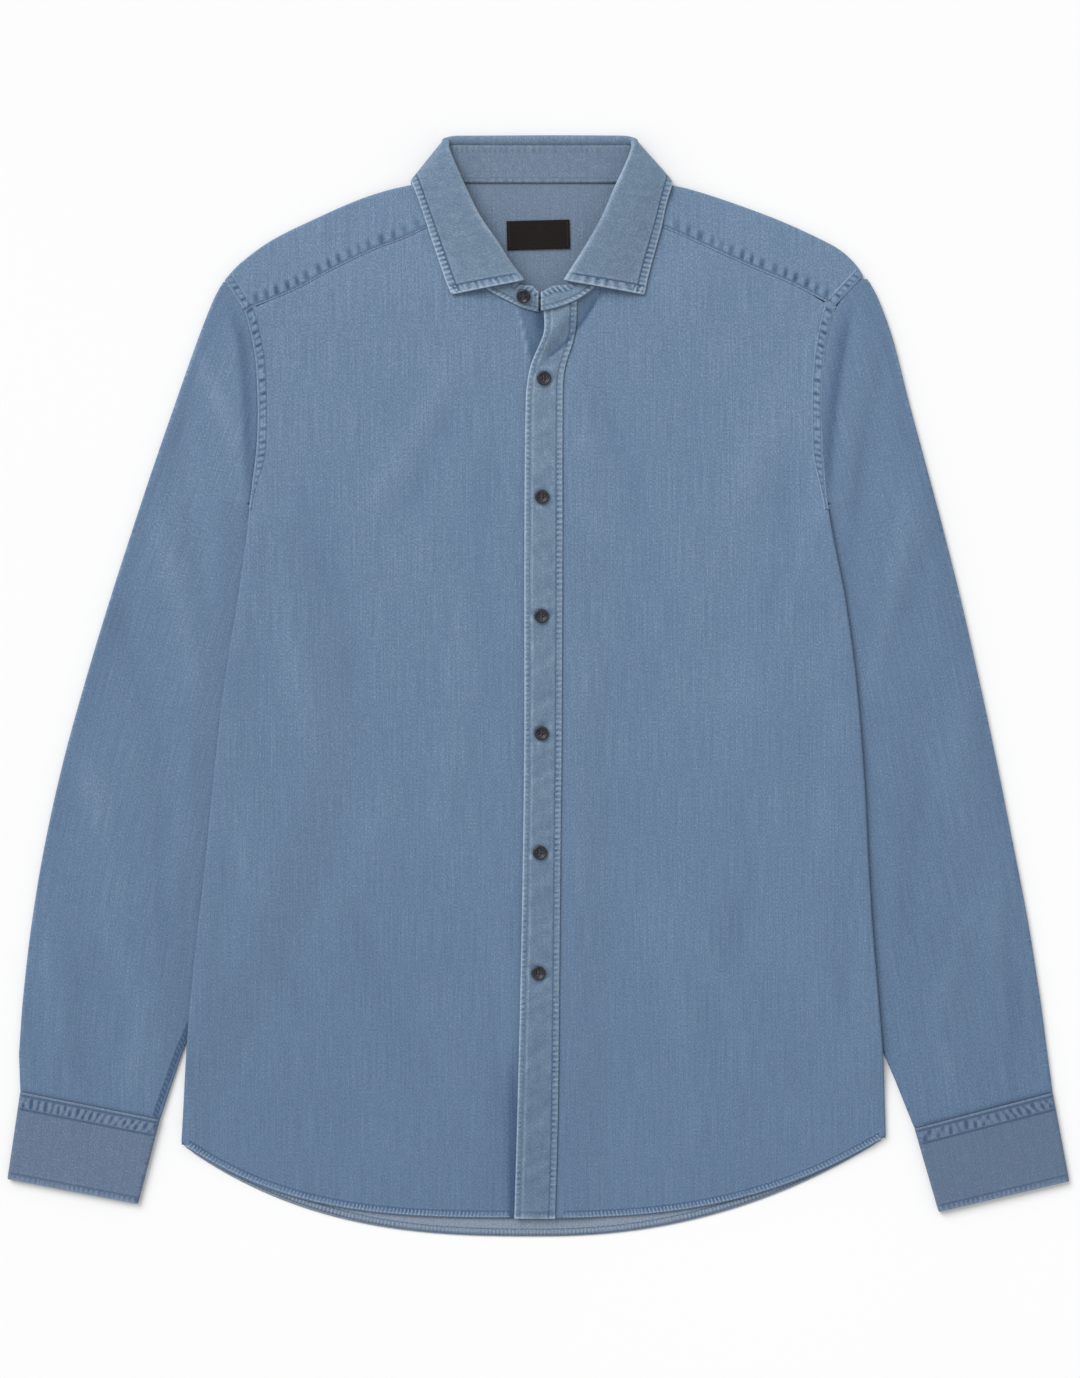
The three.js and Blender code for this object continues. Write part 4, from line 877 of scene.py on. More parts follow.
def inner_side(side, down):
    return side_limit(side, down) - BAND - 0.6


def head_out(side, down, k):
    if side == "left":
        return lerp(read(PLACKET, "edge", down), read(PLACKET, "inner", down), k / 3)
    return lerp(-read(PLACKET, "under", down), 21, k / 3)


def front_top(side, c):
    """The panel's top edge at column `c`.

    Columns 0 to 3 run under the placket, those to 7 round the neck, and those to 15 along the yoke.
    """
    head = np.array(FRONT_NECK[side]["head"], float)
    rest = plan_curve(FRONT_NECK[side]["rest"])
    seam = yoke_seam[side]
    at_head = np.stack([np.interp(c, range(4), head[:, i]) for i in range(2)], -1)
    at_rest = rest(np.clip((c - 3) / 4, 0, 1))
    at_seam = seam(np.clip((c - 7) / 8, 0, 1))
    end = seam(1.0)
    last = np.array([inner_side(side, end[1]), end[1] - 3])
    before = seam(7 / 8)
    at_end = before + (last - before) * np.clip(c - 14, 0, 1)[:, None]
    picked = np.where((c <= 3)[:, None], at_head, at_rest)
    picked = np.where((c > 7)[:, None], at_seam, picked)
    picked = np.where((c > 14)[:, None], at_end, picked)
    picked[:, 1] += np.where(c >= 7, SEAM_GAP / 2 + 0.05, 0)
    return picked


def front_plan(side, downs, c):
    """Plan positions of a front panel, rows by columns, as out and down."""
    top = front_top(side, c)
    corner = TAIL["front"][side]
    down = downs[:, None]
    share = (down - FIRST_DOWN) / (corner - FIRST_DOWN)
    ends = front_top(side, np.array([3.0, 15.0]))
    top_share = ((top[:, 0] - ends[0, 0]) / (ends[1, 0] - ends[0, 0]))[None, :]
    even = ((c - 3) / 12)[None, :]
    across = lerp(top_share, even, smooth(share * 2.2))

    def out_at(d):
        panel_out = lerp(head_out(side, d, 3), inner_side(side, d), across)
        return np.where(c[None, :] < 3, head_out(side, d, c[None, :]), panel_out)

    flat = np.full_like(across, corner)
    tail = tail_down("front", SIDES[side] * out_at(flat)) - corner
    row_down = down + (top[:, 1][None, :] - FIRST_DOWN) * np.clip(1 - share, 0, 1) ** 1.6 + tail * share**2
    out = lerp(top[:, 0][None, :], out_at(row_down), smooth((down - FIRST_DOWN) / 30))
    return out, row_down


def edge_plan(side, downs, u, height, direction, under_yoke=False):
    """The last columns of a panel: flat across the armhole's seam, or round the side's fold below it."""
    down = downs[:, None] * np.ones((1, len(u)))
    if under_yoke:
        seam = yoke_seam[side](np.linspace(0.8, 1, 60))
        at = side_limit(side, FIRST_DOWN) - BAND * (1 - u[None, :])
        top = np.interp(at, seam[:, 0], seam[:, 1]) + SEAM_GAP / 2 + 0.05
        down = down + (top - FIRST_DOWN) * np.clip(1 - (down - FIRST_DOWN) / 25, 0, 1) ** 2
    limit, share = side_limit(side, down), fold_share(down)
    turn = np.radians(88 * u)[None, :]
    folded = limit - FOLD_RADIUS + FOLD_RADIUS * np.sin(turn)
    out = lerp(limit - BAND * (1 - u[None, :]), folded, share)
    x = SIDES[side] * out
    z = height(x, np.broadcast_to(down, x.shape)) + direction * share * FOLD_RADIUS * (1 - np.cos(turn))
    return place(x, down, z), 1 - share


def hem_path(part, side, first_out, last_out, inset=0.25):
    outs = np.linspace(first_out, last_out, 120)
    x = SIDES[side] * outs
    return np.stack([x, tail_down(part, x) - inset], -1)


def front_panel(side):
    corner = TAIL["front"][side]
    downs = np.concatenate([spread(FIRST_DOWN, corner - 9, 3.1), np.linspace(corner - 8, corner, 8)])
    c = np.concatenate([spread(0, 3, 0.2), spread(3, 15, 0.19)[1:]])
    out, down = front_plan(side, downs, c)
    x = SIDES[side] * out

    def height(px, pd):
        return front_middle(side, px, pd)

    main = place(x, down, height(x, down))
    u = np.linspace(0, 1, 10)[1:]
    edge, flat = edge_plan(side, downs, u, height, -1, under_yoke=True)
    points = np.concatenate([main, edge], 1)
    hem = smooth((downs[:, None] - (corner - 5.4)) / 0.8)
    hem_lift = 0.12 * hem * np.concatenate([np.ones_like(x), 0.3 + 0.7 * flat], 1)
    band_lift = np.concatenate([np.zeros_like(x), 0.05 * flat], 1)
    lift = np.maximum(hem_lift * (points[..., 0] * SIDES[side] > 10 if side == "left" else 1), band_lift)
    # Ridges of the body's creases have rubbed a little paler, and their troughs are painted darker as shade.
    x, down = points[..., 0], -points[..., 1]
    shade = opening_shade(x, down) if side == "left" else under_shade(x, down)
    wear_and_shade = 0.2 * folds(BODY_CREASES, x, down) + paler_at_top(down) - shade
    lift = lift - (0.35 * crease(OPENING_CREASE, x, down, 2.0, 4.0) if side == "left" else 0)
    cloth = Cloth().grid(points, (points[..., 0], -points[..., 1]), lift=lift, wear_and_shade=wear_and_shade)
    walls = [cloth.wall(SEEN_CLOTH, 1)]
    wide = -HEM_WIDE * SIDES[side]
    walls.append(seam_band(front_hem(side), wide, height, HEM_RISE, hem_detail, 3.1, step=0.66))
    down = np.linspace(FIRST_DOWN - 0.4, ARMPIT_DOWN + 3, 90)
    armhole = np.stack([SIDES[side] * (read(SIDE, side, down) + 0.5), down], -1)
    reach = SIDES[side] * armhole_reach(resample(armhole, 0.95)[0][:, 1])
    walls.append(seam_band(armhole, reach, height, FELL_RISE, felled, 1.3))
    return walls


def paler_at_top(down):
    """The cloth is a little paler at the top than at the bottom."""
    return 0.08 - 0.37 * down / 790


def armhole_reach(down):
    return lerp(ARMHOLE_WIDE, ARMHOLE_WIDE_LOW, smooth((down - 225) / 42))


# The deep crease where the left front's top rolls open, and the rubbed edge of the band under it.
OPENING_CREASE = [
    (46, 110.5), (43.1, 114.5), (33, 130.3), (25.1, 141.8), (18.6, 149.8), (10.7, 156.2), (-1, 165),
]
UNDER_EDGE = [(-16, 123), (-15.2, 126), (-11.6, 139.7), (-7.3, 161.3), (-7.5, 166)]
PLACKET_EDGE = [
    (3, 122), (4.2, 135), (2.6, 143), (-1.2, 153), (-5.6, 163), (-8.2, 173), (-10, 190), (-10.6, 230),
]


# Painted shade in and beside the deep crease where the left front's top rolls open.
def opening_shade(x, down):
    sharp = crease(OPENING_CREASE, x, down, 1.1, 1.5)
    return 0.6 * sharp + 0.38 * crease(OPENING_CREASE, x, down, 1.6, 8.0, 0.2)


def under_shade(x, down):
    """The wearer's right front where it runs under the placket: painted shade beside the placket, at its top
    and down its lower part, with a rubbed edge.
    """
    edge, _ = to_line(UNDER_EDGE, x, down)
    beside = crease(PLACKET_EDGE, x, down, 0.1, 7.5, 0.08)
    top = np.exp(-(((x - 1) / 6) ** 2) - ((down - 131) / 9) ** 2)
    inside = smooth(0.5 - edge / 2.6) * smooth((166 - down) / 4)
    pale = 0.5 * bell(edge, 0.6, 1.1) * smooth((down - 124) / 4) * smooth((167 - down) / 8)
    low = np.exp(-(((x + 19.5) / 4.5) ** 2)) * smooth((down - 640) / 60) * (x < 0)
    shade = 0.35 * beside * inside + 0.25 * inside * smooth((164 - down) / 6) + 0.5 * top * inside
    return shade - pale + 0.65 * low


HEM_RISE = [-0.15, 0.5, 0.7, 0.76, 0.72, 0.66, 0.4, -0.2]
FELL_RISE = [-0.1, 0.55, 0.62, 0.64, 0.66, 0.66, 0.62, 0.5, -0.2]


def front_hem(side):
    start = 17 if side == "left" else 22
    return hem_path("front", side, start, side_limit(side, TAIL["front"][side]) - 3)


def on_cloth(path, distance, height, lift):
    """A line of stitches beside a plan line, on the face of the cloth."""
    line, _ = resample(path, 2.0)
    plan = offset_line(line, distance)
    return place(plan[:, 0], plan[:, 1], height(plan[:, 0], plan[:, 1]) + SEEN_CLOTH / 2 + lift)


def placket_band():
    """The band down the wearer's left front, with a puckered row of stitches along each edge."""
    side, corner = "left", TAIL["front"]["left"]
    downs = spread(FIRST_DOWN, corner, 1.2)
    c = np.concatenate([np.linspace(0, 0.62, 15), np.linspace(0.72, 2.28, 12), np.linspace(2.38, 3, 15)])
    out, down = front_plan(side, downs, c)
    height = front_middle(side, out, down) + (CLOTH + PLACKET_CLOTH) / 2 + SEAM_GAP
    left = out - out[:, :1]
    right = out[:, -1:] - out
    low = down[-1:, :] - down
    lift, wear_and_shade = stitched_edge(left, down, 3.7, 0.7, 3.7, edge=0.85, tone=0.1, rung=0.6, ditch=0.3)
    rows = (
        (right, down, 4.6, dict(seed=2.9, pitch=3.9, edge=0.2, tone=0.15, rung=0.9, ditch=0.9)),
        (low, out, 4.8, dict(seed=4.4, pitch=3.2, edge=1.0, tone=0.1, rung=0.3, ditch=1.0)),
    )
    for distance, along, line, look in rows:
        more_lift, more_wear = stitched_edge(distance, along, line, **look)
        lift, wear_and_shade = lift + more_lift, wear_and_shade + more_wear
    inside = smooth((left - 4) / 2) * smooth((right - 4) / 2)
    wave = np.sin(down / 5.3 + 1.7 * np.sin(down / 17) + 0.5 * np.sin(left / 2.1))
    fine = np.sin(down / 2.3 + left / 3.5 + 2 * np.sin(down / 9)) * np.sin(down / 13 + 1)
    lift += inside * (0.05 * wave + 0.04 * fine)
    wear_and_shade += inside * (0.05 * wave + 0.08 * fine - 0.02) + 0.3 * bell(left, 5.7, 0.6)
    # Each buttonhole has pulled the band into a rubbed ring with dark dents round it.
    for x, at in BUTTONS:
        radius = np.hypot(out - x, down - at)
        angle = np.arctan2(down - at, out - x)
        ring = bell(radius, 7.6, 1.6)
        dents = np.sin(3 * angle + at) + 0.6 * np.sin(5 * angle + 2 * at)
        lift += ring * (0.08 + 0.1 * dents)
        # Painted shadow: a dark ring on the band just round each button.
        wear_and_shade += ring * (0.08 + 0.22 * dents) - 0.25 * bell(radius, 5.4, 1.2)
    wear_and_shade += paler_at_top(down) - 0.9 * opening_shade(out, down)
    lift -= 0.35 * crease(OPENING_CREASE, out, down, 2.0, 4.0)
    cloth = Cloth().grid(place(out, down, height), (out, down), lift=lift, wear_and_shade=wear_and_shade)
    lines = []
    for at in (3.9 / 27 * 3, 3 - 4.6 / 27 * 3):
        line_out, line_down = front_plan(side, spread(FIRST_DOWN + 2, corner - 5, 3), np.array([at]))
        z = front_middle(side, line_out, line_down) + CLOTH / 2 + SEAM_GAP + PLACKET_CLOTH - 0.2
        lines.append(place(line_out, line_down, z)[:, 0])
    return cloth.wall(PLACKET_CLOTH * 0.95, 1), lines


def back_plan(downs_share, u):
    """Plan positions of the back, rows by columns, from the yoke's seam to its hem."""
    first = BACK_YOKE_DOWN + 0.2
    part = TAIL["back"]
    corner = lerp(part["right"], part["left"], smooth(u / 2 + 0.5))[None, :]
    down = first + (corner - first) * downs_share[:, None]
    share = downs_share[:, None]

    def x_at(d):
        limit = np.where(u[None, :] < 0, inner_side("right", d), inner_side("left", d))
        return u[None, :] * limit

    row_down = down + (tail_down("back", x_at(corner * np.ones_like(down))) - corner) * share**2
    return x_at(row_down), row_down


def back_height(x, down):
    """The back lies on the table, in soft rucks where nothing presses on it."""
    calm = smooth((by_side(SIDE, x, down) - np.abs(x)) / 40)
    calm = calm * smooth((760 - down) / 60) * smooth((down - 150) / 60)
    return back_middle(x, down) + calm * np.clip(folds(BACK_CREASES, x, down), 0, 0.4)


def back_panel():
    v = np.concatenate([spread(0, 0.985, 0.0085)[:-2], np.linspace(0.985, 1, 9)])
    u = np.linspace(-1, 1, 101)
    x, down = back_plan(v, u)
    middle = place(x, down, back_height(x, down))
    edges = []
    for side in ("right", "left"):
        first, corner = BACK_YOKE_DOWN + 0.2, TAIL["back"][side]
        turn = np.linspace(0, 1, 8)[1:]
        points, _ = edge_plan(side, first + (corner - first) * v, turn, back_height, 1)
        edges.append(points)
    points = np.concatenate([edges[0][:, ::-1], middle, edges[1]], 1)
    above_hem = tail_down("back", points[..., 0]) + points[..., 1]
    turned_up = 1.15 * smooth((13.5 - above_hem) / 0.8)
    cloth = Cloth().grid(points, (points[..., 0], -points[..., 1]), wear_and_shade=paler_at_top(-points[..., 1]) + turned_up)
    walls = [cloth.wall(SEEN_CLOTH, -1)]
    for side in SIDES:
        line = hem_path("back", side, 0, side_limit(side, TAIL["back"][side]) - 3)
        rise = [-0.1, 0.35, 0.45, 0.5, 0.45, 0.4, 0.3, -0.2]
        wide = -BACK_HEM_WIDE * SIDES[side]
        band = seam_band(line, wide, back_height, rise, inner_hem_detail, 5.3, step=0.66)
        band["inside"][:] = 1.0
        walls.append(band)
    return walls


# Yoke
YOKE_BAND = 8.6


def yoke_column(side, t, parts):
    """One column of the yoke, from its front seam over the shoulder's fold to the seam at the back."""
    seam = yoke_seam[side](np.array([t]))[0]
    fold = shoulder_fold[side](np.array([t]))[0]
    away = seam - fold
    depth = np.linalg.norm(away)
    away = away / depth
    inset = 2.3
    band_start = depth - YOKE_BAND - 0.7
    distances = np.concatenate([
        depth - np.array([0.15, 0.6, 1.6, 2.8, 4.0, 5.2, 6.4, 7.4, 8.3, 8.6, 9.3]),
        lerp(inset, band_start, np.linspace(1, 0, parts + 1)[1:]),
    ])
    lifts = np.concatenate([[0, 0.03, 0.05, 0.05, 0.05, 0.05, 0.05, 0.05, 0.03, 0, 0], np.zeros(parts)])
    plan = fold[None, :] + away[None, :] * distances[:, None]
    x = SIDES[side] * plan[:, 0]
    points = [place(x, plan[:, 1], front_middle(side, x, plan[:, 1]))]
    inset_plan = plan[-1]
    ix = SIDES[side] * inset_plan[0]
    top = float(front_middle(side, ix, inset_plan[1]))
    low = float(back_middle(ix, inset_plan[1]))
    radius = (top - low) / 2
    turn = np.radians(np.linspace(0, 180, 13)[1:])
    around = fold[None, :] + away[None, :] * (inset - (inset - CLOTH / 2) * np.sin(turn))[:, None]
    points.append(place(SIDES[side] * around[:, 0], around[:, 1], low + radius * (1 + np.cos(turn))))
    shares = np.linspace(0, 1, 15)[1:]
    down = lerp(inset_plan[1], BACK_YOKE_DOWN - 0.15, shares)
    end_out = lerp(84, float(read(SIDE, side, BACK_YOKE_DOWN)), t)
    bx = SIDES[side] * lerp(inset_plan[0], end_out, shares)
    points.append(place(bx, down, back_middle(bx, down)))
    points = np.vstack(points)
    return points, np.concatenate([lifts, np.zeros(len(points) - len(lifts))])


def yoke_walls():
    cloth = Cloth()
    for side in ("right", "left"):
        columns = [yoke_column(side, t, 12) for t in spread(0, 1, 1 / 66)]
        columns = columns if side == "left" else columns[::-1]
        points = np.stack([c[0] for c in columns])
        lift = np.stack([c[1] for c in columns])
        cut = "lr" + ("t" if side == "right" else "b")
        cloth.grid(points, (points[..., 0], -points[..., 1]), lift=lift, wear_and_shade=0.04, cut=cut)
    first, last = (yoke_column(side, 0.0, 12)[0][-15:] for side in ("right", "left"))
    outs = np.linspace(-63, 63, 43)
    shares = np.linspace(0, 1, 15)
    rows = [first]
    for x in outs:
        edge = BACK_NECK_DOWN - 3 + 6 * (abs(x) / 84) ** 6
        down = lerp(edge, BACK_YOKE_DOWN - 0.15, shares)
        xs = np.full_like(down, x)
        rows.append(place(xs, down, back_middle(xs, down)))
    rows.append(last)
    points = np.stack(rows)
    cloth.grid(points, (points[..., 0], -points[..., 1]), cut="lr")
    walls = [cloth.wall(SEEN_CLOTH, -1)]
    for side in SIDES:
        seam = yoke_seam[side](np.linspace(0.0, 1, 160))
        path = np.stack([SIDES[side] * seam[:, 0], seam[:, 1] + 0.05], -1)

        def height(px, pd, side=side):
            return front_middle(side, px, pd)

        rise = [0, 0.45, 0.5, 0.52, 0.54, 0.56, 0.54, 0.5, 0.45, 0.3, 0.1, -0.05]
        walls.append(seam_band(path, -YOKE_SEAM_WIDE * SIDES[side], height, rise, yoke_detail, 2.2))
        # The sleeve's seam runs on over the yoke's end up to the shoulder's tip.
        corner, tip = yoke_seam[side](np.array([1.0]))[0], shoulder_fold[side](np.array([1.0]))[0]
        end = np.linspace(corner + (tip - corner) * 0.03, tip + (corner - tip) * 0.04, 40)
        end += np.linspace(0.2, 1.1, 40)[:, None] * np.array([0.8, 0.6])
        end[:, 0] *= SIDES[side]
        end_rise = [0.5, 1.0, 1.05, 1.05, 1.0, 0.9, 0.5]
        walls.append(seam_band(end, -YOKE_END_WIDE * SIDES[side], height, end_rise, felled, 6.1, pitch=4.6))
    return walls


# Sleeves and cuffs
SLEEVE_HEAD_DOWN = {"right": 105.6, "left": 103.4}


def sleeve_gap(side, x, down):
    from_body = np.abs(x) - read(SIDE, side, np.minimum(down, 725))
    beside = smooth((from_body - 1.5) / 20)
    opened = lerp(1, beside, smooth((down - 262) / 14))
    calm = smooth((from_body - 8) / 16) * smooth((read(SLEEVE_OUTER, side, down) - np.abs(x)) / 14)
    waves = folds(SLEEVE_FOLDS[side], x, down) + folds(SLEEVE_CREASES[side], x, down)
    waves = waves - 0.6 * armhole_fold(side, x, down)
    thick = CLOTH + SEAM_GAP
    return thick + (EDGE_HEIGHT - thick) * opened + calm * np.maximum(waves, -1.35)


def ring_rows(plan_at, widths, low_at, gap_at, across, across_low, thickness, opened):
    """Rings of a flattened tube: over the upper layer, round the inner fold, under and back."""
    rings, marks = [], []
    for i, width in enumerate(widths):
        def gap(u, i=i):
            plan = plan_at(i, np.atleast_1d(u))
            return gap_at(plan[:, 0], plan[:, 1])

        start_radius, end_radius = gap(0.02)[0] / 2, gap(0.98)[0] / 2
        start = (thickness / 2 + start_radius) / width
        end = 1.0 if opened[i] else 1 - (thickness / 2 + end_radius) / width
        u = lerp(start, end, across)
        plan = plan_at(i, u)
        edges = lerp(start_radius, end_radius, across) * 2
        near = np.minimum(across, 1.0 if opened[i] else 1 - across) * width
        top_at = low_at + lerp(edges, gap_at(plan[:, 0], plan[:, 1]), smooth(near / 8))
        upper = place(plan[:, 0], plan[:, 1], top_at)
        u_low = lerp(start, end, across_low)[::-1]
        low_plan = plan_at(i, u_low)
        lower = place(low_plan[:, 0], low_plan[:, 1], low_at)

        def arc(at, radius, sign, i=i, width=width):
            degrees = np.arange(22.5, 180, 22.5)
            turn = np.radians(degrees if sign > 0 else 180 - degrees)
            p = plan_at(i, at + sign * radius * np.sin(turn) / width)
            return place(p[:, 0], p[:, 1], low_at + radius * (1 + np.cos(turn)))

        ring = np.vstack([upper, arc(end, end_radius, 1), lower, arc(start, start_radius, -1)])
        rings.append(np.vstack([ring, ring[:1]]))
        marks.append(np.concatenate([u, np.full(7, end), u_low, np.full(8, start)]) * width)
    return np.stack(rings), np.stack(marks)


def sleeve_ends(side):
    """The sleeve's rows: points on its outer fold and on its inner side, the armhole and then a fold."""
    cuff = CUFF[side]
    first = SLEEVE_HEAD_DOWN[side]
    upper = np.linspace(first, ARMPIT_DOWN, 54)
    armhole_out = read(SIDE, side, upper) + SEAM_GAP + 0.15 - 0.9 * smooth((upper - 258) / 8)
    armhole = np.stack([armhole_out, upper], -1)
    lower = np.concatenate([[270, 273, 276, 279, 282, 285, 288, 292, 297], np.arange(302, 682, 3.1)])
    # At the armpit the fold is tucked in under the body's side edge.
    tucked = np.where(lower < 300, read(SIDE, side, lower) - 2.2, 400)
    fold = np.stack([np.minimum(read(SLEEVE_INNER, side, lower), tucked), lower], -1)
    inner = np.vstack([armhole, fold, np.linspace(fold[-1], cuff["top_in"], 10)[1:]])
    top_out = cuff["top_out"][1]
    above = lerp(first + 0.5, 250, (inner[:, 1] - first) / (ARMPIT_DOWN - first))
    below = lerp(250, top_out, (inner[:, 1] - ARMPIT_DOWN) / (cuff["top_in"][1] - ARMPIT_DOWN))
    outer_down = np.where(inner[:, 1] <= ARMPIT_DOWN, above, below)
    outer = np.stack([read(SLEEVE_OUTER, side, outer_down), outer_down], -1)
    outer[-10:] = np.linspace(outer[-10], cuff["top_out"], 10)
    # The last row is held under the cuff's edge.
    for end, line in ((cuff["end_in"], inner), (cuff["end_out"], outer)):
        away = np.array(end, float) - line[-1]
        line[-1] += 0.5 * away / np.linalg.norm(away)
    return inner, outer, len(armhole)


def sleeve_walls(side):
    inner, outer, armpit = sleeve_ends(side)
    widths = np.linalg.norm(outer - inner, axis=1)
    opened = np.arange(len(inner)) < armpit - 1

    def plan_at(i, u):
        plan = outer[i] + (inner[i] - outer[i]) * np.asarray(u)[:, None]
        return plan * np.array([SIDES[side], 1])

    across = np.concatenate([[0, 0.03, 0.07], np.linspace(0.1, 0.9, 40), [0.93, 0.97, 1]])
    across_low = np.linspace(0, 1, 14)
    rings, marks = ring_rows(
        plan_at, widths, TABLE, lambda x, d: sleeve_gap(side, x, d), across, across_low, CLOTH, opened
    )
    rows = np.arange(len(rings)) * 3.05
    along = np.broadcast_to(rows[:, None], marks.shape)
    half = len(across)
    # Crease ridges are rubbed paler, and their troughs are painted darker as shade.
    crease_rub_and_shade = folds(SLEEVE_CREASES[side], rings[..., 0], -rings[..., 1])
    upper = np.zeros(rings.shape[:2])
    upper[:, :half] = 1
    wear_and_shade = 0.22 * crease_rub_and_shade + upper * sleeve_shade(side, rings[..., 0], -rings[..., 1])
    wear_and_shade = wear_and_shade + paler_at_top(-rings[..., 1]) + SLEEVE_PAINTED_SHADE[side]
    start = half + 7
    cloth = Cloth()

    def split(values):
        return np.concatenate([values[:armpit, start:], values[:armpit, 1:half]], 1)

    def closed(values):
        return values[armpit - 1 :]

    cloth.grid(split(rings), (split(marks), split(along)), wear_and_shade=split(wear_and_shade), cut="tlr")
    cloth.grid(closed(rings), (closed(marks), closed(along)), wear_and_shade=closed(wear_and_shade), cut="b")
    return [cloth.wall(SEEN_CLOTH, "out"), underarm_seam(rings[:, :half], armpit, side)]


def underarm_seam(top, armpit, side):
    """The felled seam along the sleeve's inner fold, on the rows and columns of its upper layer."""
    rows = top[armpit + 12 :, ::-1]
    along = arc_length(rows[:, 0])
    stations = np.arange(0, along[-1] - 0.5, 0.85)
    distances = np.linspace(0, UNDERARM_WIDE, 13)
    across = run_across(rows)
    strip = np.stack([
        np.stack([np.interp(distances, lengths, row[:, k]) for k in range(3)], -1)
        for row, lengths in zip(rows, across)
    ])
    strip = np.stack([
        np.stack([np.interp(stations, along, strip[:, j, k]) for k in range(3)], -1)
        for j in range(len(distances))
    ], 1)
    distance = distances[None, :] + 0 * stations[:, None]
    seam_at = stations[:, None] + 0 * distance
    lift, wear_and_shade = underarm_detail(distance, UNDERARM_WIDE, seam_at, 1.0 + SIDES[side])
    rise = np.interp(distances, [0, 0.9, UNDERARM_WIDE - 1, UNDERARM_WIDE], [0.1, 0.55, 0.5, -0.1])
    wear_and_shade = wear_and_shade + SLEEVE_PAINTED_SHADE[side] - 0.1
    band = Cloth().grid(strip, (strip[..., 0], strip[..., 1]), lift=lift + rise[None, :], wear_and_shade=wear_and_shade)
    return band.wall(SEEN_CLOTH * 0.8, 1 if side == "right" else -1)


# Painted shade: each sleeve is a little darker all over, the wearer's left one most, as the light falls off
# across the shirt.
SLEEVE_PAINTED_SHADE = {"right": -0.02, "left": -0.09}
# The fold beside each armhole, as (x, down), which runs down into the armpit.
ARMHOLE_FOLD = {
    "right": [
        (-226, 112), (-221, 128), (-214.5, 150), (-212.3, 175), (-210.5, 210), (-209.4, 251), (-211, 280),
    ],
    "left": [(227, 112), (222, 130), (217.5, 155), (212.8, 186), (209.4, 214), (207.6, 245), (208, 280)],
}


def armhole_fold(side, x, down):
    """How deep a point of the sleeve lies in the fold beside the armhole, from 0 to 1."""
    reach = (6.5, 3.0) if side == "right" else (3.0, 6.5)
    return crease(ARMHOLE_FOLD[side], x, down, *reach, 0.25)


# Painted shade in the fold beside the armhole and along the sleeve's outer fold, where the cloth turns away.
def sleeve_shade(side, x, down):
    near_outer = (read(SLEEVE_OUTER, side, np.minimum(down, 700)) - np.abs(x)) / 16
    return -0.55 * armhole_fold(side, x, down) - 0.16 * np.exp(-(near_outer**2)) * smooth((620 - down) / 200)


def cuff_plan(side):
    corners = CUFF[side]
    a, b, c, d = (np.array(corners[k], float) for k in ("top_out", "top_in", "end_out", "end_in"))
    return a, b, c, d


def cuff_gap(x, down):
    """The height between the cuff's two walls, the same everywhere."""
    return np.full(np.shape(x), CUFF_HEIGHT)


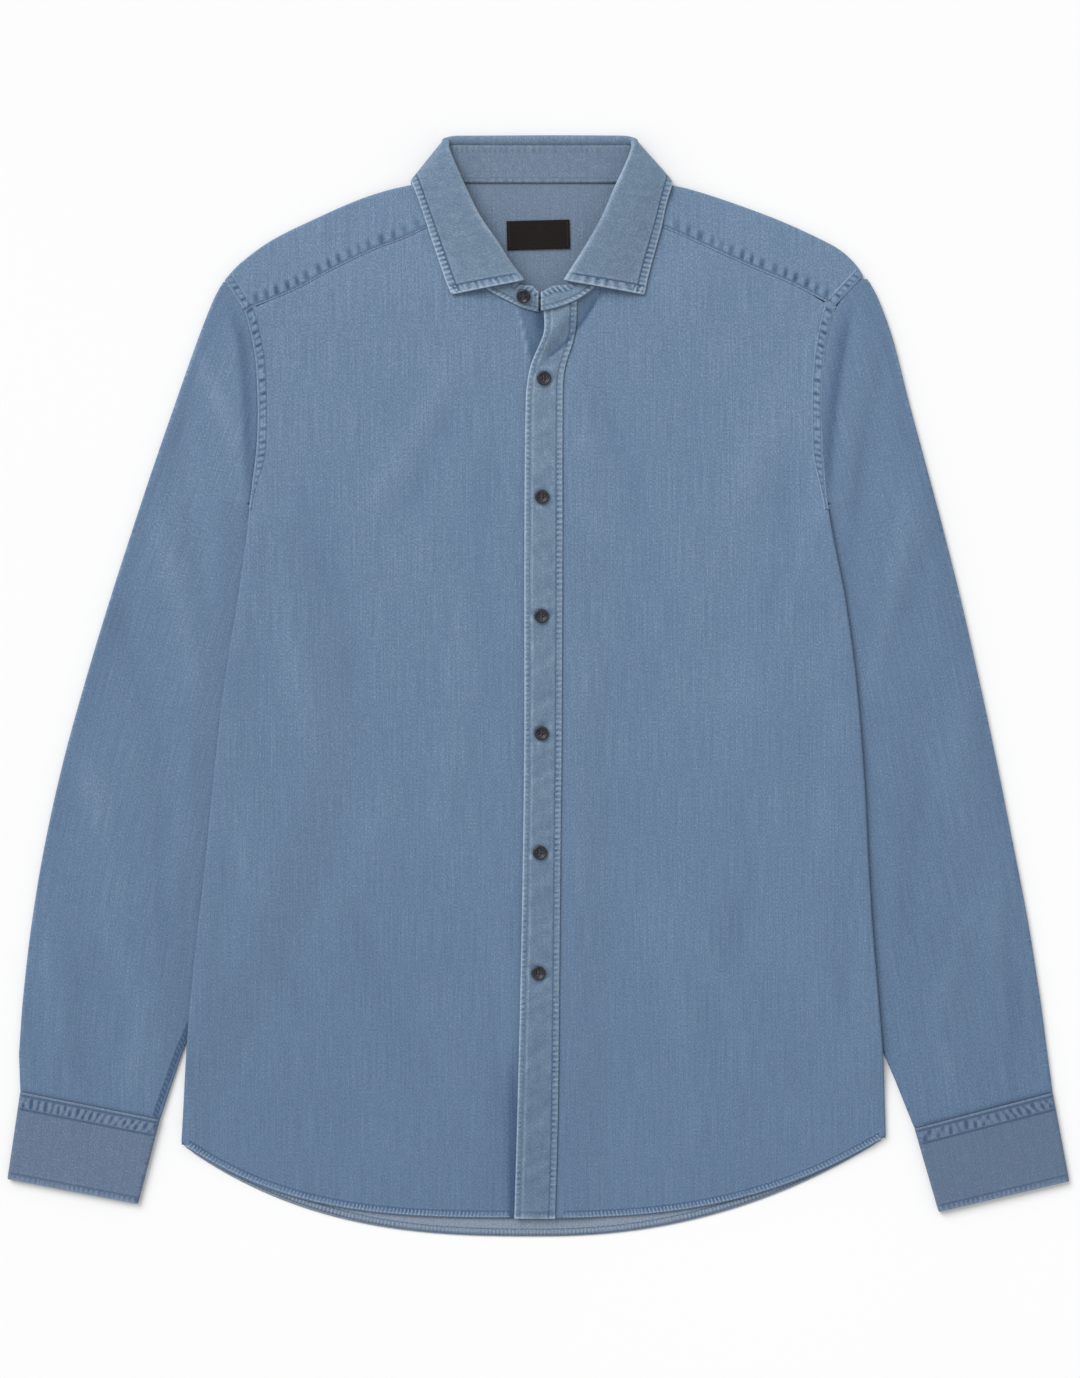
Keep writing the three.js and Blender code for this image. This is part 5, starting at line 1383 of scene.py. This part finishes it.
def cuff_walls(side):
    a, b, c, d = cuff_plan(side)
    length = np.linalg.norm(c - a)
    distances = np.concatenate([[0.1, 0.5], np.arange(1.2, length - 0.6, 0.75), [length - 0.35, length]])
    v = distances / length
    left, right = lerp(a, c, v[:, None]), lerp(b, d, v[:, None])
    widths = np.linalg.norm(right - left, axis=1)

    def plan_at(i, u):
        plan = left[i] + (right[i] - left[i]) * np.asarray(u)[:, None]
        return plan * np.array([SIDES[side], 1])

    across = np.concatenate([[0, 0.015], np.linspace(0.03, 0.97, 104), [0.985, 1]])
    across_low = np.linspace(0, 1, 12)
    closed = np.zeros(len(distances), bool)
    rings, marks = ring_rows(
        plan_at, widths, CUFF_CLOTH / 2, cuff_gap, across, across_low, CUFF_CLOTH, closed
    )
    half = len(across)
    from_top = np.broadcast_to(distances[:, None], marks.shape)
    from_end = length - from_top
    seed = 1.1 if side == "left" else 4.2
    lift, wear_and_shade = stitched_edge(
        from_end, marks, CUFF_END_STITCH, seed + 2, 3.6, edge=0.6, tone=0.1, rung=0.55, ditch=1.1
    )
    # The band above the second row of stitches has a pale edge, a double line and slanting puckers.
    slant = 0.3 + 0.25 * np.sin(marks / 23 + seed)
    rung = 0.8 * ripple(marks + slant * from_top, seed, 5.2)
    rung = rung + 0.5 * ripple(marks - 0.6 * from_top, seed + 5, 8.3)
    zone = smooth((from_top - 2.8) / 1.6) * smooth((11.2 - from_top) / 1.4)
    lines_at = sum(bell(from_top, at, 0.5) for at in CUFF_STITCHES)
    lift = lift + 0.42 * smooth((12.9 - from_top) / 0.7) + 0.14 * zone * rung - 0.18 * lines_at
    wear_and_shade = wear_and_shade + zone * (1.9 * np.clip(rung, -1, 0.06) + 0.15)
    wear_and_shade = wear_and_shade - 1.3 * lines_at + 0.35 * bell(from_top, 0, 0.9)
    lift = lift + 0.06 * rung * bell(from_top, 14.5, 1.8)
    inner = smooth((from_top - 14) / 10) * smooth((from_end - 6) / 8)
    lift = lift + 0.1 * np.sin(marks / 19 + from_top / 31) * inner
    top = np.zeros(rings.shape[:2])
    top[:, :half] = 1
    # The wearer's left cuff is painted darker all over as shade, as the light falls off across the shirt.
    tone = 0.0 if side == "right" else -0.14
    wear_and_shade = wear_and_shade * (0.3 + 0.7 * top) + tone
    cloth = Cloth().grid(rings, (marks, from_top), lift=lift * top, wear_and_shade=wear_and_shade, cut="tb")
    lines = []
    for distance in (*CUFF_STITCHES, length - CUFF_END_STITCH):
        share = distance / length
        plan = lerp(lerp(a, c, share), lerp(b, d, share), np.linspace(0.045, 0.955, 60)[:, None])
        raise_by = 0.16 if distance in CUFF_STITCHES else -0.2
        top_at = CUFF_CLOTH / 2 + CUFF_HEIGHT + SEEN_CUFF / 2 + raise_by
        lines.append(place(SIDES[side] * plan[:, 0], plan[:, 1], top_at))
    return [cloth.wall(SEEN_CUFF, "out")], lines


# Collar
def rest_on(top):
    return top + COLLAR_CLOTH / 2 + 0.6


def cloth_top(side, x, down):
    return front_middle(side, x, down) + CLOTH / 2


def neck_rest(side, x, down):
    if down < 50:
        return rest_on(back_middle(x, down) + CLOTH / 2 - 0.3)
    band = PLACKET_CLOTH + SEAM_GAP + 0.3 if side == "left" and x < 30 else 0
    return rest_on(cloth_top(side, x, down) + band)


def edge_rest(side, x, down):
    return rest_on(cloth_top(side, x, down))


def collar_points(side, rows, rest):
    points = []
    for right, left, down, z in rows:
        x = SIDES[side] * (right if side == "right" else left)
        points.append((x, -down, float(rest(side, x, down)) if z is None else z))
    return space_curve(points)


LAST = len(COLLAR) - 1
COLLAR_CURVES = {}
for _side in SIDES:
    _stand = [row[0] for row in COLLAR] + [row[0] for row in STAND_END]
    _necks = [row[2] for row in COLLAR] + [row[1] for row in STAND_END]
    COLLAR_CURVES[_side] = {
        "roll": collar_points(_side, [row[0] for row in COLLAR], edge_rest),
        "edge": collar_points(_side, [row[1] for row in COLLAR], edge_rest),
        "neck": collar_points(_side, _necks, neck_rest),
        "top": collar_points(_side, _stand, edge_rest),
    }
TURNS = [row[3] for row in COLLAR]


def unit(v):
    return v / np.linalg.norm(v)


def roll_section(side, s):
    curves = COLLAR_CURVES[side]
    roll, edge, neck = curves["roll"](s)[0], curves["edge"](s)[0], curves["neck"](s)[0]
    turn = math.radians(np.interp(s, range(len(TURNS)), TURNS))
    facing = np.array([SIDES[side] * math.sin(turn), 0, -math.cos(turn)])
    up = roll - (neck + edge) / 2
    up = unit(up - facing * up.dot(facing))
    centre = roll - up * ROLL_RADIUS

    def around(degrees):
        angle = math.radians(degrees)
        return centre + up * ROLL_RADIUS * math.cos(angle) + facing * ROLL_RADIUS * math.sin(angle)

    return around, edge, neck, turn


def fall_column(side, s, parts=20):
    around, edge, neck, turn = roll_section(side, s)
    seam = STAND_SHARE + 0.01 + 0.035 * smooth((s - 4) / 1.5) * (1 - smooth((s - 7.5) / 1.5))
    column = [lerp(neck, around(-90), seam)]
    column += [around(degrees) for degrees in np.linspace(-90, 90, 13)]
    start = around(90)
    puff = 1.6 * smooth((math.degrees(turn) - 120) / 60)
    length = np.linalg.norm(edge - start)
    near = np.array([8.6, 7.8, 7.2, 6.7, 6.3, 5.9, 5.5, 5.0, 4.3, 3.6, 2.9, 2.2, 1.5, 0.9, 0.4, 0])
    shares = np.concatenate([np.linspace(0, 1 - 9.6 / length, parts)[1:], 1 - near / length])
    for share in shares:
        q = lerp(start, edge, share)
        q[2] = max(COLLAR_CLOTH / 2 + 0.05, q[2] + puff * math.sin(math.pi * share))
        column.append(q)
    return np.array(column)


def stand_column(side, s, shares):
    curves = COLLAR_CURVES[side]
    neck = curves["neck"](s)[0]
    if s <= LAST:
        end, share = roll_section(side, s)[0](-90), STAND_SHARE
    else:
        fade = min(1.0, s - LAST)
        start = roll_section(side, LAST)[0](-90) - curves["roll"](LAST)[0]
        end = curves["top"](s)[0] + start * (1 - fade)
        share = lerp(STAND_SHARE, 1, fade)
    return np.array([lerp(neck, end, t * share) for t in shares])


def around_neck(column, stations):
    right = [column("right", s) for s in stations[:0:-1]]
    return np.stack(right + [column("left", s) for s in stations])


def run_along(points):
    """Distances along each row of a grid, measured from its middle row, in millimetres."""
    steps = np.linalg.norm(np.diff(points, axis=0), axis=2)
    total = np.vstack([np.zeros(points.shape[1]), np.cumsum(steps, axis=0)])
    return total - total[len(total) // 2]


def run_across(points):
    steps = np.linalg.norm(np.diff(points, axis=1), axis=2)
    return np.hstack([np.zeros((len(points), 1)), np.cumsum(steps, axis=1)])


def fall_walls():
    stations = np.concatenate([np.linspace(0, 3, 60), np.linspace(3, LAST - 0.03, 230)[1:], [LAST]])
    points = around_neck(fall_column, stations)
    across = run_across(points)
    along = run_along(points)
    from_edge = across[:, -1:] - across
    from_front = np.minimum(along - along[0], along[-1] - along)
    line = COLLAR_STITCH
    beside = smooth((from_front - 0.5) / 1.5)
    look = dict(pitch=3.6, edge=1.0, tone=0.1, rung=1.1, ditch=1.7)
    lift, wear_and_shade = stitched_edge(from_edge, along, line, 0.4, **look)
    front_lift, front_wear = stitched_edge(from_front, across, line, 3.3, **look)
    on_leaf = smooth((across - 9) / 3)
    lift = lift * beside + front_lift * on_leaf * smooth((from_edge - 1) / 3)
    wear_and_shade = wear_and_shade * beside + front_wear * (0.2 + 0.8 * on_leaf) * smooth((from_edge - 0.5) / 1.5)
    inside_leaf = smooth((from_front - 6) / 4) * smooth((from_edge - 6) / 4)
    lift = lift + 0.2 * inside_leaf * np.sin(along / 21 + 1) * np.sin(across / 9)
    # The roll has rubbed pale where it turns under, and the leaf a little near its points.
    normal = np.cross(np.gradient(points, axis=0), np.gradient(points, axis=1))
    upward = np.abs(normal[..., 2]) / np.maximum(np.linalg.norm(normal, axis=2), 1e-9)
    steep = np.where(across < 16, upward, 1.0)
    turn_at = np.take_along_axis(across, np.argmin(steep, axis=1)[:, None], 1)
    crest = bell(across - turn_at, 1.4, 1.8)
    wear_and_shade = wear_and_shade + 0.62 * crest * (0.85 + 0.3 * np.sin(along / 13)) + 0.1 * np.exp(-from_front / 14) - 0.03
    cloth = Cloth().grid(points, (along, across), lift=lift, wear_and_shade=wear_and_shade)
    turned = np.concatenate([stations[:0:-1], stations]) >= 8.2
    return [cloth.wall(SEEN_COLLAR, 1)], stitch_rows(points, turned, from_edge, from_front, line, line)


def stitch_rows(points, turned, from_edge, from_front, edge_line, front_line):
    """Rows of stitches on each leaf of the fall: one beside its long edge and one beside its front."""
    lines, middle = [], len(points) // 2
    for half in (slice(None, middle), slice(middle, None)):
        part, front, edge, shows = points[half], from_front[half], from_edge[half], turned[half]
        beside_edge, beside_front = [], []
        for row, far, near, seen in zip(part, front[:, -1], edge, shows):
            if seen and far > front_line:
                order = np.argsort(near)
                beside_edge.append([np.interp(edge_line, near[order], row[order, k]) for k in range(3)])
        for j in range(12, part.shape[1]):
            order = np.argsort(front[:, j])
            if edge[0, j] > edge_line and edge[-1, j] > edge_line:
                reached = [np.interp(front_line, front[order, j], part[order, j, k]) for k in range(3)]
                beside_front.append(reached)
        lines += [np.array(beside_edge), np.array(beside_front)]
    return [line + np.array([0, 0, SEEN_COLLAR / 2 - 0.1]) for line in lines]


def stand_walls():
    stations = np.concatenate([
        np.linspace(0, 3, 40), np.linspace(3, LAST, 150)[1:], np.linspace(LAST, LAST + 2, 34)[1:],
    ])
    shares = np.concatenate([
        [0, 0.012], np.linspace(0.035, 0.3, 13), np.linspace(0.36, 0.7, 8), np.linspace(0.74, 0.985, 10), [1],
    ])
    points = around_neck(lambda side, s: stand_column(side, s, shares), stations)
    across = run_across(points)
    along = run_along(points)
    top_gap = across[:, -1:] - across
    from_front = np.minimum(along - along[0], along[-1] - along)
    # Its lower edge is turned in and sits down on the cloth.
    points[:, 0, 2] -= 0.75
    points[:, 1, 2] -= 0.3
    front = smooth((np.abs(along) - 190) / 25)
    lift, wear_and_shade = stitched_edge(across, along, 3.0, 1.9, 3.6, edge=0.6, tone=0.2, rung=0.7, ditch=0.75)
    wear_and_shade = wear_and_shade * (1 - 0.45 * front)
    look = dict(edge=0.4, tone=0.0, rung=1.0, ditch=0.4)
    top_lift, top_wear = stitched_edge(top_gap, along, 5.0, 5.1, 3.9, **look)
    look = dict(edge=0.8, tone=0.05, rung=0.2, ditch=0.25)
    end_lift, end_wear = stitched_edge(from_front, across, 2.6, 0.8, 3.4, **look)
    inner = smooth((across - 1) / 2)
    lift = lift + top_lift * (1 - front) + end_lift * inner
    wear_and_shade = wear_and_shade + top_wear * (1 - 0.6 * front) + end_wear * inner + 0.5 * front * bell(top_gap, 0, 0.9)
    # Painted shade at each side of the neck, where the fall's roll overhangs the stand.
    wear_and_shade = wear_and_shade - 0.22 * bell(np.abs(along), 95, 40)
    cloth = Cloth().grid(points, (along, across), lift=lift, wear_and_shade=wear_and_shade)
    raised = np.array([0, 0, SEEN_COLLAR / 2 - 0.16])
    low = [
        [np.interp(3.0, row_across, row[:, k]) for k in range(3)] for row, row_across in zip(points, across)
    ]
    return [cloth.wall(SEEN_COLLAR, 1)], [np.array(low) + raised]


# Label, buttons and their thread
def label_wall():
    cos, sin = math.cos(LABEL["turn"]), math.sin(LABEL["turn"])
    v, u = np.meshgrid(spread(-0.5, 0.5, 1 / 24), spread(-0.5, 0.5, 1 / 50), indexing="ij")
    a, b = u * LABEL["wide"], v * LABEL["high"]
    x = LABEL["out"] + a * cos + b * sin
    down = LABEL["down"] - a * sin + b * cos
    base = back_middle(x, down) + CLOTH / 2 + 0.5 + SEAM_GAP + 0.1
    ends = np.abs(u) * LABEL["wide"]
    lift = -0.18 * bell(ends, LABEL_STITCH, 0.5) + 0.06 * np.sin(a / 3.1) * np.cos(b / 4.0)
    cloth = Cloth().grid(place(x, down, base), (a, b), lift=lift)
    lines = []
    for at in (-LABEL_STITCH, LABEL_STITCH):
        b_line = np.linspace(-9.3, 9.3, 30)
        lx, ld = LABEL["out"] + at * cos + b_line * sin, LABEL["down"] - at * sin + b_line * cos
        lines.append(place(lx, ld, back_middle(lx, ld) + CLOTH / 2 + 1.26))
    return cloth.wall(0.8, 1), lines


BUTTON_PROFILE = [
    (0, 0.5), (0.5, 0.5), (0.9, 0.51), (1.3, 0.52), (1.6, 0.55), (1.9, 0.6), (2.3, 0.75), (2.7, 1.0),
    (3.0, 1.35), (3.4, 1.75), (3.9, 2.05), (4.3, 2.1), (4.7, 1.95), (5.0, 1.6), (5.1, 1.2), (5.0, 0.75),
    (4.5, 0.3), (3.9, 0), (0, 0),
]
HOLES = [(1, 1), (-1, 1), (-1, -1), (1, -1)]


def button_frame(name):
    """A button's seat, and the direction that it faces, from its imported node."""
    node = bpy.data.objects[name]
    low, high = (np.array(v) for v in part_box(name))
    if name != "collar_button":
        return np.array([(low[0] + high[0]) / 2, (low[1] + high[1]) / 2, low[2]]), np.array([0.0, 0.0, 1.0])
    points = np.array([v.co for v in node.data.vertices])
    middle = points.mean(0)
    _, _, axes = np.linalg.svd(points - middle)
    facing = axes[2] if axes[2][2] > 0 else -axes[2]
    reach = ((points - middle) @ facing).min()
    return middle + facing * reach, facing


def button_mesh(name, material):
    seat, facing = button_frame(name)
    side = unit(np.cross((0, 1, 0), facing))
    front = np.cross(facing, side)
    around = np.arange(48) * 2 * math.pi / 48
    rows = []
    for radius, high in BUTTON_PROFILE:
        x, y = radius * np.cos(around), radius * np.sin(around)
        z = np.full_like(x, high + 0.15)
        if high > 0.45 and radius < 2.1:
            pit = sum(np.exp(-(((x - hx) ** 2 + (y - hy) ** 2) / 0.3) ** 2) for hx, hy in HOLES)
            z = z + 0.6 - 1.0 * np.minimum(pit, 1)
        elif high > 0.6 and radius < 2.8:
            z = z + 0.6 * (2.8 - radius)
        rows.append(np.stack([x, y, z], -1))
    grid = np.stack(rows)
    flat = grid.reshape(-1, 3)
    world = seat + (flat[:, :1] * side + flat[:, 1:2] * front + flat[:, 2:] * facing) * MM
    count = len(around)
    faces = []
    for r in range(len(grid) - 1):
        for k in range(count):
            a, b = r * count + k, r * count + (k + 1) % count
            faces.append((a, b, b + count, a + count))
    mesh = bpy.data.meshes.new(name + "_resin")
    mesh.from_pydata(world.tolist(), [], faces)
    mesh.validate()
    mesh.shade_smooth()
    return shown(name + "_resin", mesh, material), (seat, side, front, facing)


def button_thread(frames, material):
    """Four holes are sewn in two bars of thread, a few turns in each."""
    lines = []
    for seat, side, front, facing in frames:
        shift = origin()
        for y in (1.0, -1.0):
            for offset in (-0.28, 0.0, 0.28):
                x = np.linspace(-1.05, 1.05, 7)
                z = 1.22 + 0.3 * np.cos(x / 1.05 * math.pi / 2) + 0.05 * abs(offset)
                spot = seat + (x[:, None] * side + (y + offset) * front + z[:, None] * facing) * MM
                lines.append((spot - shift) / MM)
    return stitches("button_thread", lines, material, length=2.0, gap=0.02, thick=0.17, sink=0.0)


def stage_paper(name):
    """Seamless white paper, matt, with a trace of unevenness."""
    material, tree, shader = new_material(name, 0.95)
    where = add_node(tree, "ShaderNodeTexCoord").outputs["Object"]
    patches = {"Vector": where, "Scale": 1.5, "Detail": 2.0}
    cloud = add_node(tree, "ShaderNodeTexNoise", patches).outputs["Fac"]
    ramp = add_node(tree, "ShaderNodeValToRGB", {"Fac": cloud})
    ramp.color_ramp.elements[0].color = linear("#f2f2f2")
    ramp.color_ramp.elements[1].color = linear("#f6f6f6")
    tree.links.new(ramp.outputs["Color"], shader.inputs["Base Color"])
    return material


# What a user would change
def colour_property(name, description, hex_colour):
    return bpy.props.FloatVectorProperty(
        name=name, description=description, default=linear(hex_colour)[:3], size=3, min=0, max=1,
        subtype="COLOR",
    )


class ShirtColours(bpy.types.PropertyGroup):
    """The shirt's colours."""

    face: colour_property("Denim", "The washed denim's usual blue", "#667e9a")
    pale: colour_property("Rubbed denim", "Ridges, edges and slubs that have worn pale", "#a3b6ca")
    deep: colour_property("Deep denim", "Seam ditches and the darkest yarns", "#3c5472")
    inner: colour_property("Denim reverse", "The cloth's inner face, greyer than its outer one", "#6a7d93")
    band: colour_property("Doubled denim", "Collar and placket, a little paler and greyer", "#6b8096")
    cuff: colour_property("Cuff denim", "Cuffs, a little greyer", "#5f7189")
    thread: colour_property("Topstitching", "Blue-grey thread of the seams", "#647892")
    label: colour_property("Label", "Dark woven tape of the neck label", "#1b1816")
    button: colour_property("Buttons", "Near-black resin of the buttons", "#16161d")


class ShirtSizes(bpy.types.PropertyGroup):
    """The shirt's sewing sizes."""

    stitch: bpy.props.FloatProperty(
        name="Stitch", description="Length of one topstitch", default=0.0027, min=0.001, max=0.006,
        unit="LENGTH",
    )
    thread: bpy.props.FloatProperty(
        name="Thread", description="Thickness of the topstitching thread", default=0.0006, min=0.0002,
        max=0.002, unit="LENGTH",
    )
    camera: bpy.props.FloatProperty(
        name="Camera height", description="Height of the camera above the table", default=2.3426, min=1,
        max=10, unit="LENGTH",
    )
    daylight: bpy.props.FloatProperty(
        name="Window light", description="Strength of the soft light from the upper left", default=2.1,
        min=0, max=20,
    )
    fill: bpy.props.FloatProperty(
        name="Room light", description="Strength of the even light from all round", default=0.62,
        min=0, max=5,
    )


def seam_thread(name, lines):
    sizes = bpy.context.scene.shirt_sizes
    length, thick = sizes.stitch / MM, sizes.thread / MM / 2
    piece = stitches(name, lines, finish_for("thread"), length=length, thick=thick)
    return belongs(piece, "denim_band")


# Operators, one for each piece or group of like pieces
class SewFronts(bpy.types.Operator):
    """Lay both fronts with the placket over the wearer's left one."""

    bl_idname = "shirt.sew_fronts"
    bl_label = "Fronts and placket"

    def execute(self, context):
        lines = []
        for side in SIDES:
            piece = sew("front_" + side + "_denim", front_panel(side), finish_for("denim"))
            belongs(piece, "denim", "front_" + side)

            def height(x, down, side=side):
                return front_middle(side, x, down)

            lines.append(on_cloth(front_hem(side), -HEM_STITCH * SIDES[side], height, 0.46))
            down = np.linspace(FIRST_DOWN, ARMPIT_DOWN - 2, 90)
            seam = np.stack([SIDES[side] * (read(SIDE, side, down) + 0.5), down], -1)
            inner = seam - np.stack([SIDES[side] * (armhole_reach(down) - 1.7), 0 * down], -1)
            lines += [on_cloth(seam, 1.6 * SIDES[side], height, 0.38), on_cloth(inner, 0.0, height, 0.38)]
        walls, rows = placket_band()
        band = sew("placket_denim", [walls], finish_for("band"))
        belongs(band, "denim_band", "placket")
        seam_thread("front_stitches", lines + rows)
        return {"FINISHED"}


class SewBack(bpy.types.Operator):
    """Lay the back, with its hem turned up on the inner side."""

    bl_idname = "shirt.sew_back"
    bl_label = "Back"

    def execute(self, context):
        piece = sew("back_denim", back_panel(), finish_for("denim"))
        belongs(piece, "denim", "back")
        lines = []
        for side in SIDES:
            hem = hem_path("back", side, 0, side_limit(side, TAIL["back"][side]) - 3)
            lines.append(on_cloth(hem, -BACK_HEM_STITCH * SIDES[side], back_height, 0.22))
        seam_thread("back_stitches", lines)
        return {"FINISHED"}


class SewYoke(bpy.types.Operator):
    """Fold the yoke over both shoulders."""

    bl_idname = "shirt.sew_yoke"
    bl_label = "Yoke"

    def execute(self, context):
        piece = sew("yoke_denim", yoke_walls(), finish_for("denim"))
        belongs(piece, "denim", "yoke")
        lines = []
        for side in SIDES:
            seam = yoke_seam[side](np.linspace(0.0, 0.99, 120))
            path = np.stack([SIDES[side] * seam[:, 0], seam[:, 1] - 0.2], -1)

            def height(x, down, side=side):
                return front_middle(side, x, down)

            for distance in YOKE_STITCHES:
                lines.append(on_cloth(path, -distance * SIDES[side], height, 0.36))
        seam_thread("yoke_stitches", lines)
        return {"FINISHED"}


class SewSleeves(bpy.types.Operator):
    """Lay both sleeves, which run under the body below the armpits."""

    bl_idname = "shirt.sew_sleeves"
    bl_label = "Sleeves"

    def execute(self, context):
        for side in SIDES:
            piece = sew("sleeve_" + side + "_denim", sleeve_walls(side), finish_for("denim"))
            belongs(piece, "denim", "sleeve_" + side)
        return {"FINISHED"}


class SewCuffs(bpy.types.Operator):
    """Close both cuffs."""

    bl_idname = "shirt.sew_cuffs"
    bl_label = "Cuffs"

    def execute(self, context):
        lines = []
        for side in SIDES:
            walls, rows = cuff_walls(side)
            piece = sew("cuff_" + side + "_denim", walls, finish_for("cuff"))
            belongs(piece, "denim_band", "cuff_" + side)
            lines += rows
        seam_thread("cuff_stitches", lines)
        return {"FINISHED"}


class SewCollar(bpy.types.Operator):
    """Roll the collar's fall over its stand."""

    bl_idname = "shirt.sew_collar"
    bl_label = "Collar"

    def execute(self, context):
        walls, rows = fall_walls()
        fall = sew("collar_fall_denim", walls, finish_for("band"))
        belongs(fall, "denim_band", "collar_fall")
        stand_parts, stand_lines = stand_walls()
        stand = sew("collar_stand_denim", stand_parts, finish_for("band"))
        belongs(stand, "denim_band", "collar_stand")
        seam_thread("collar_stitches", rows + stand_lines)
        return {"FINISHED"}


class SewLabel(bpy.types.Operator):
    """Stitch the bare woven label inside the neck."""

    bl_idname = "shirt.sew_label"
    bl_label = "Neck label"

    def execute(self, context):
        wall, rows = label_wall()
        piece = sew("neck_label_tape", [wall], finish_for("label"))
        belongs(piece, "label", "neck_label")
        thread = stitches("label_stitches", rows, finish_for("label thread"), length=1.6, gap=0.6, thick=0.2)
        belongs(thread, "label")
        return {"FINISHED"}


class SewButtons(bpy.types.Operator):
    """Sew the seven four-hole buttons."""

    bl_idname = "shirt.sew_buttons"
    bl_label = "Buttons"

    def execute(self, context):
        frames = []
        for name in [f"button_{i + 1}" for i in range(len(BUTTONS))] + ["collar_button"]:
            piece, placed = button_mesh(name, finish_for("button"))
            belongs(piece, "button", name)
            frames.append(placed)
        belongs(button_thread(frames, finish_for("button thread")), "button")
        return {"FINISHED"}


class SetStage(bpy.types.Operator):
    """Put white paper under the shirt, soft light over it and the camera straight above."""

    bl_idname = "shirt.set_stage"
    bl_label = "Stage"

    def execute(self, context):
        scene, sizes = context.scene, context.scene.shirt_sizes
        mesh = bpy.data.meshes.new("floor")
        reach, level = 6.0, -0.0002
        corners = [(-reach, -reach), (reach, -reach), (reach, reach), (-reach, reach)]
        mesh.from_pydata([(x, y, level) for x, y in corners], [], [(0, 1, 2, 3)])
        shown("floor", mesh, stage_paper("white paper"))
        camera = bpy.data.objects.new("camera", bpy.data.cameras.new("camera"))
        camera.data.lens, camera.data.sensor_width = 85, 36
        camera.location = (0.0012, -0.00216, sizes.camera)
        scene.collection.objects.link(camera)
        scene.camera = camera
        light = bpy.data.lights.new("window", "SUN")
        light.energy, light.angle = sizes.daylight, math.radians(38)
        window = bpy.data.objects.new("window", light)
        window.rotation_euler = Vector((-0.62, 0.75, 0.95)).to_track_quat("Z", "Y").to_euler()
        scene.collection.objects.link(window)
        world = bpy.data.worlds.new("room")
        world.use_nodes = True
        world.node_tree.nodes["Background"].inputs["Color"].default_value = (1, 1, 1, 1)
        world.node_tree.nodes["Background"].inputs["Strength"].default_value = sizes.fill
        scene.world = world
        scene.view_settings.view_transform = "Standard"
        return {"FINISHED"}


class ShirtPanel(bpy.types.Panel):
    """The shirt's steps in the 3D view's sidebar."""

    bl_idname = "VIEW3D_PT_shirt"
    bl_label = "Denim shirt"
    bl_space_type = "VIEW_3D"
    bl_region_type = "UI"
    bl_category = "Shirt"

    def draw(self, context):
        for group in (context.scene.shirt_sizes, context.scene.shirt_colours):
            for name in group.bl_rna.properties.keys():
                if name not in ("rna_type", "name"):
                    self.layout.prop(group, name)
        for step in STEPS:
            self.layout.operator(step.bl_idname)


STEPS = (SetStage, SewSleeves, SewBack, SewYoke, SewFronts, SewCuffs, SewCollar, SewLabel, SewButtons)
CLASSES = (ShirtColours, ShirtSizes, *STEPS, ShirtPanel)


def register():
    for kind in CLASSES:
        bpy.utils.register_class(kind)
    bpy.types.Scene.shirt_colours = bpy.props.PointerProperty(type=ShirtColours)
    bpy.types.Scene.shirt_sizes = bpy.props.PointerProperty(type=ShirtSizes)


def unregister():
    del bpy.types.Scene.shirt_sizes
    del bpy.types.Scene.shirt_colours
    for kind in reversed(CLASSES):
        bpy.utils.unregister_class(kind)


def main():
    register()
    bpy.ops.shirt.set_stage()
    bpy.ops.shirt.sew_sleeves()
    bpy.ops.shirt.sew_back()
    bpy.ops.shirt.sew_yoke()
    bpy.ops.shirt.sew_fronts()
    bpy.ops.shirt.sew_cuffs()
    bpy.ops.shirt.sew_collar()
    bpy.ops.shirt.sew_label()
    bpy.ops.shirt.sew_buttons()
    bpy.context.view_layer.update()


if __name__ == "__main__":
    main()
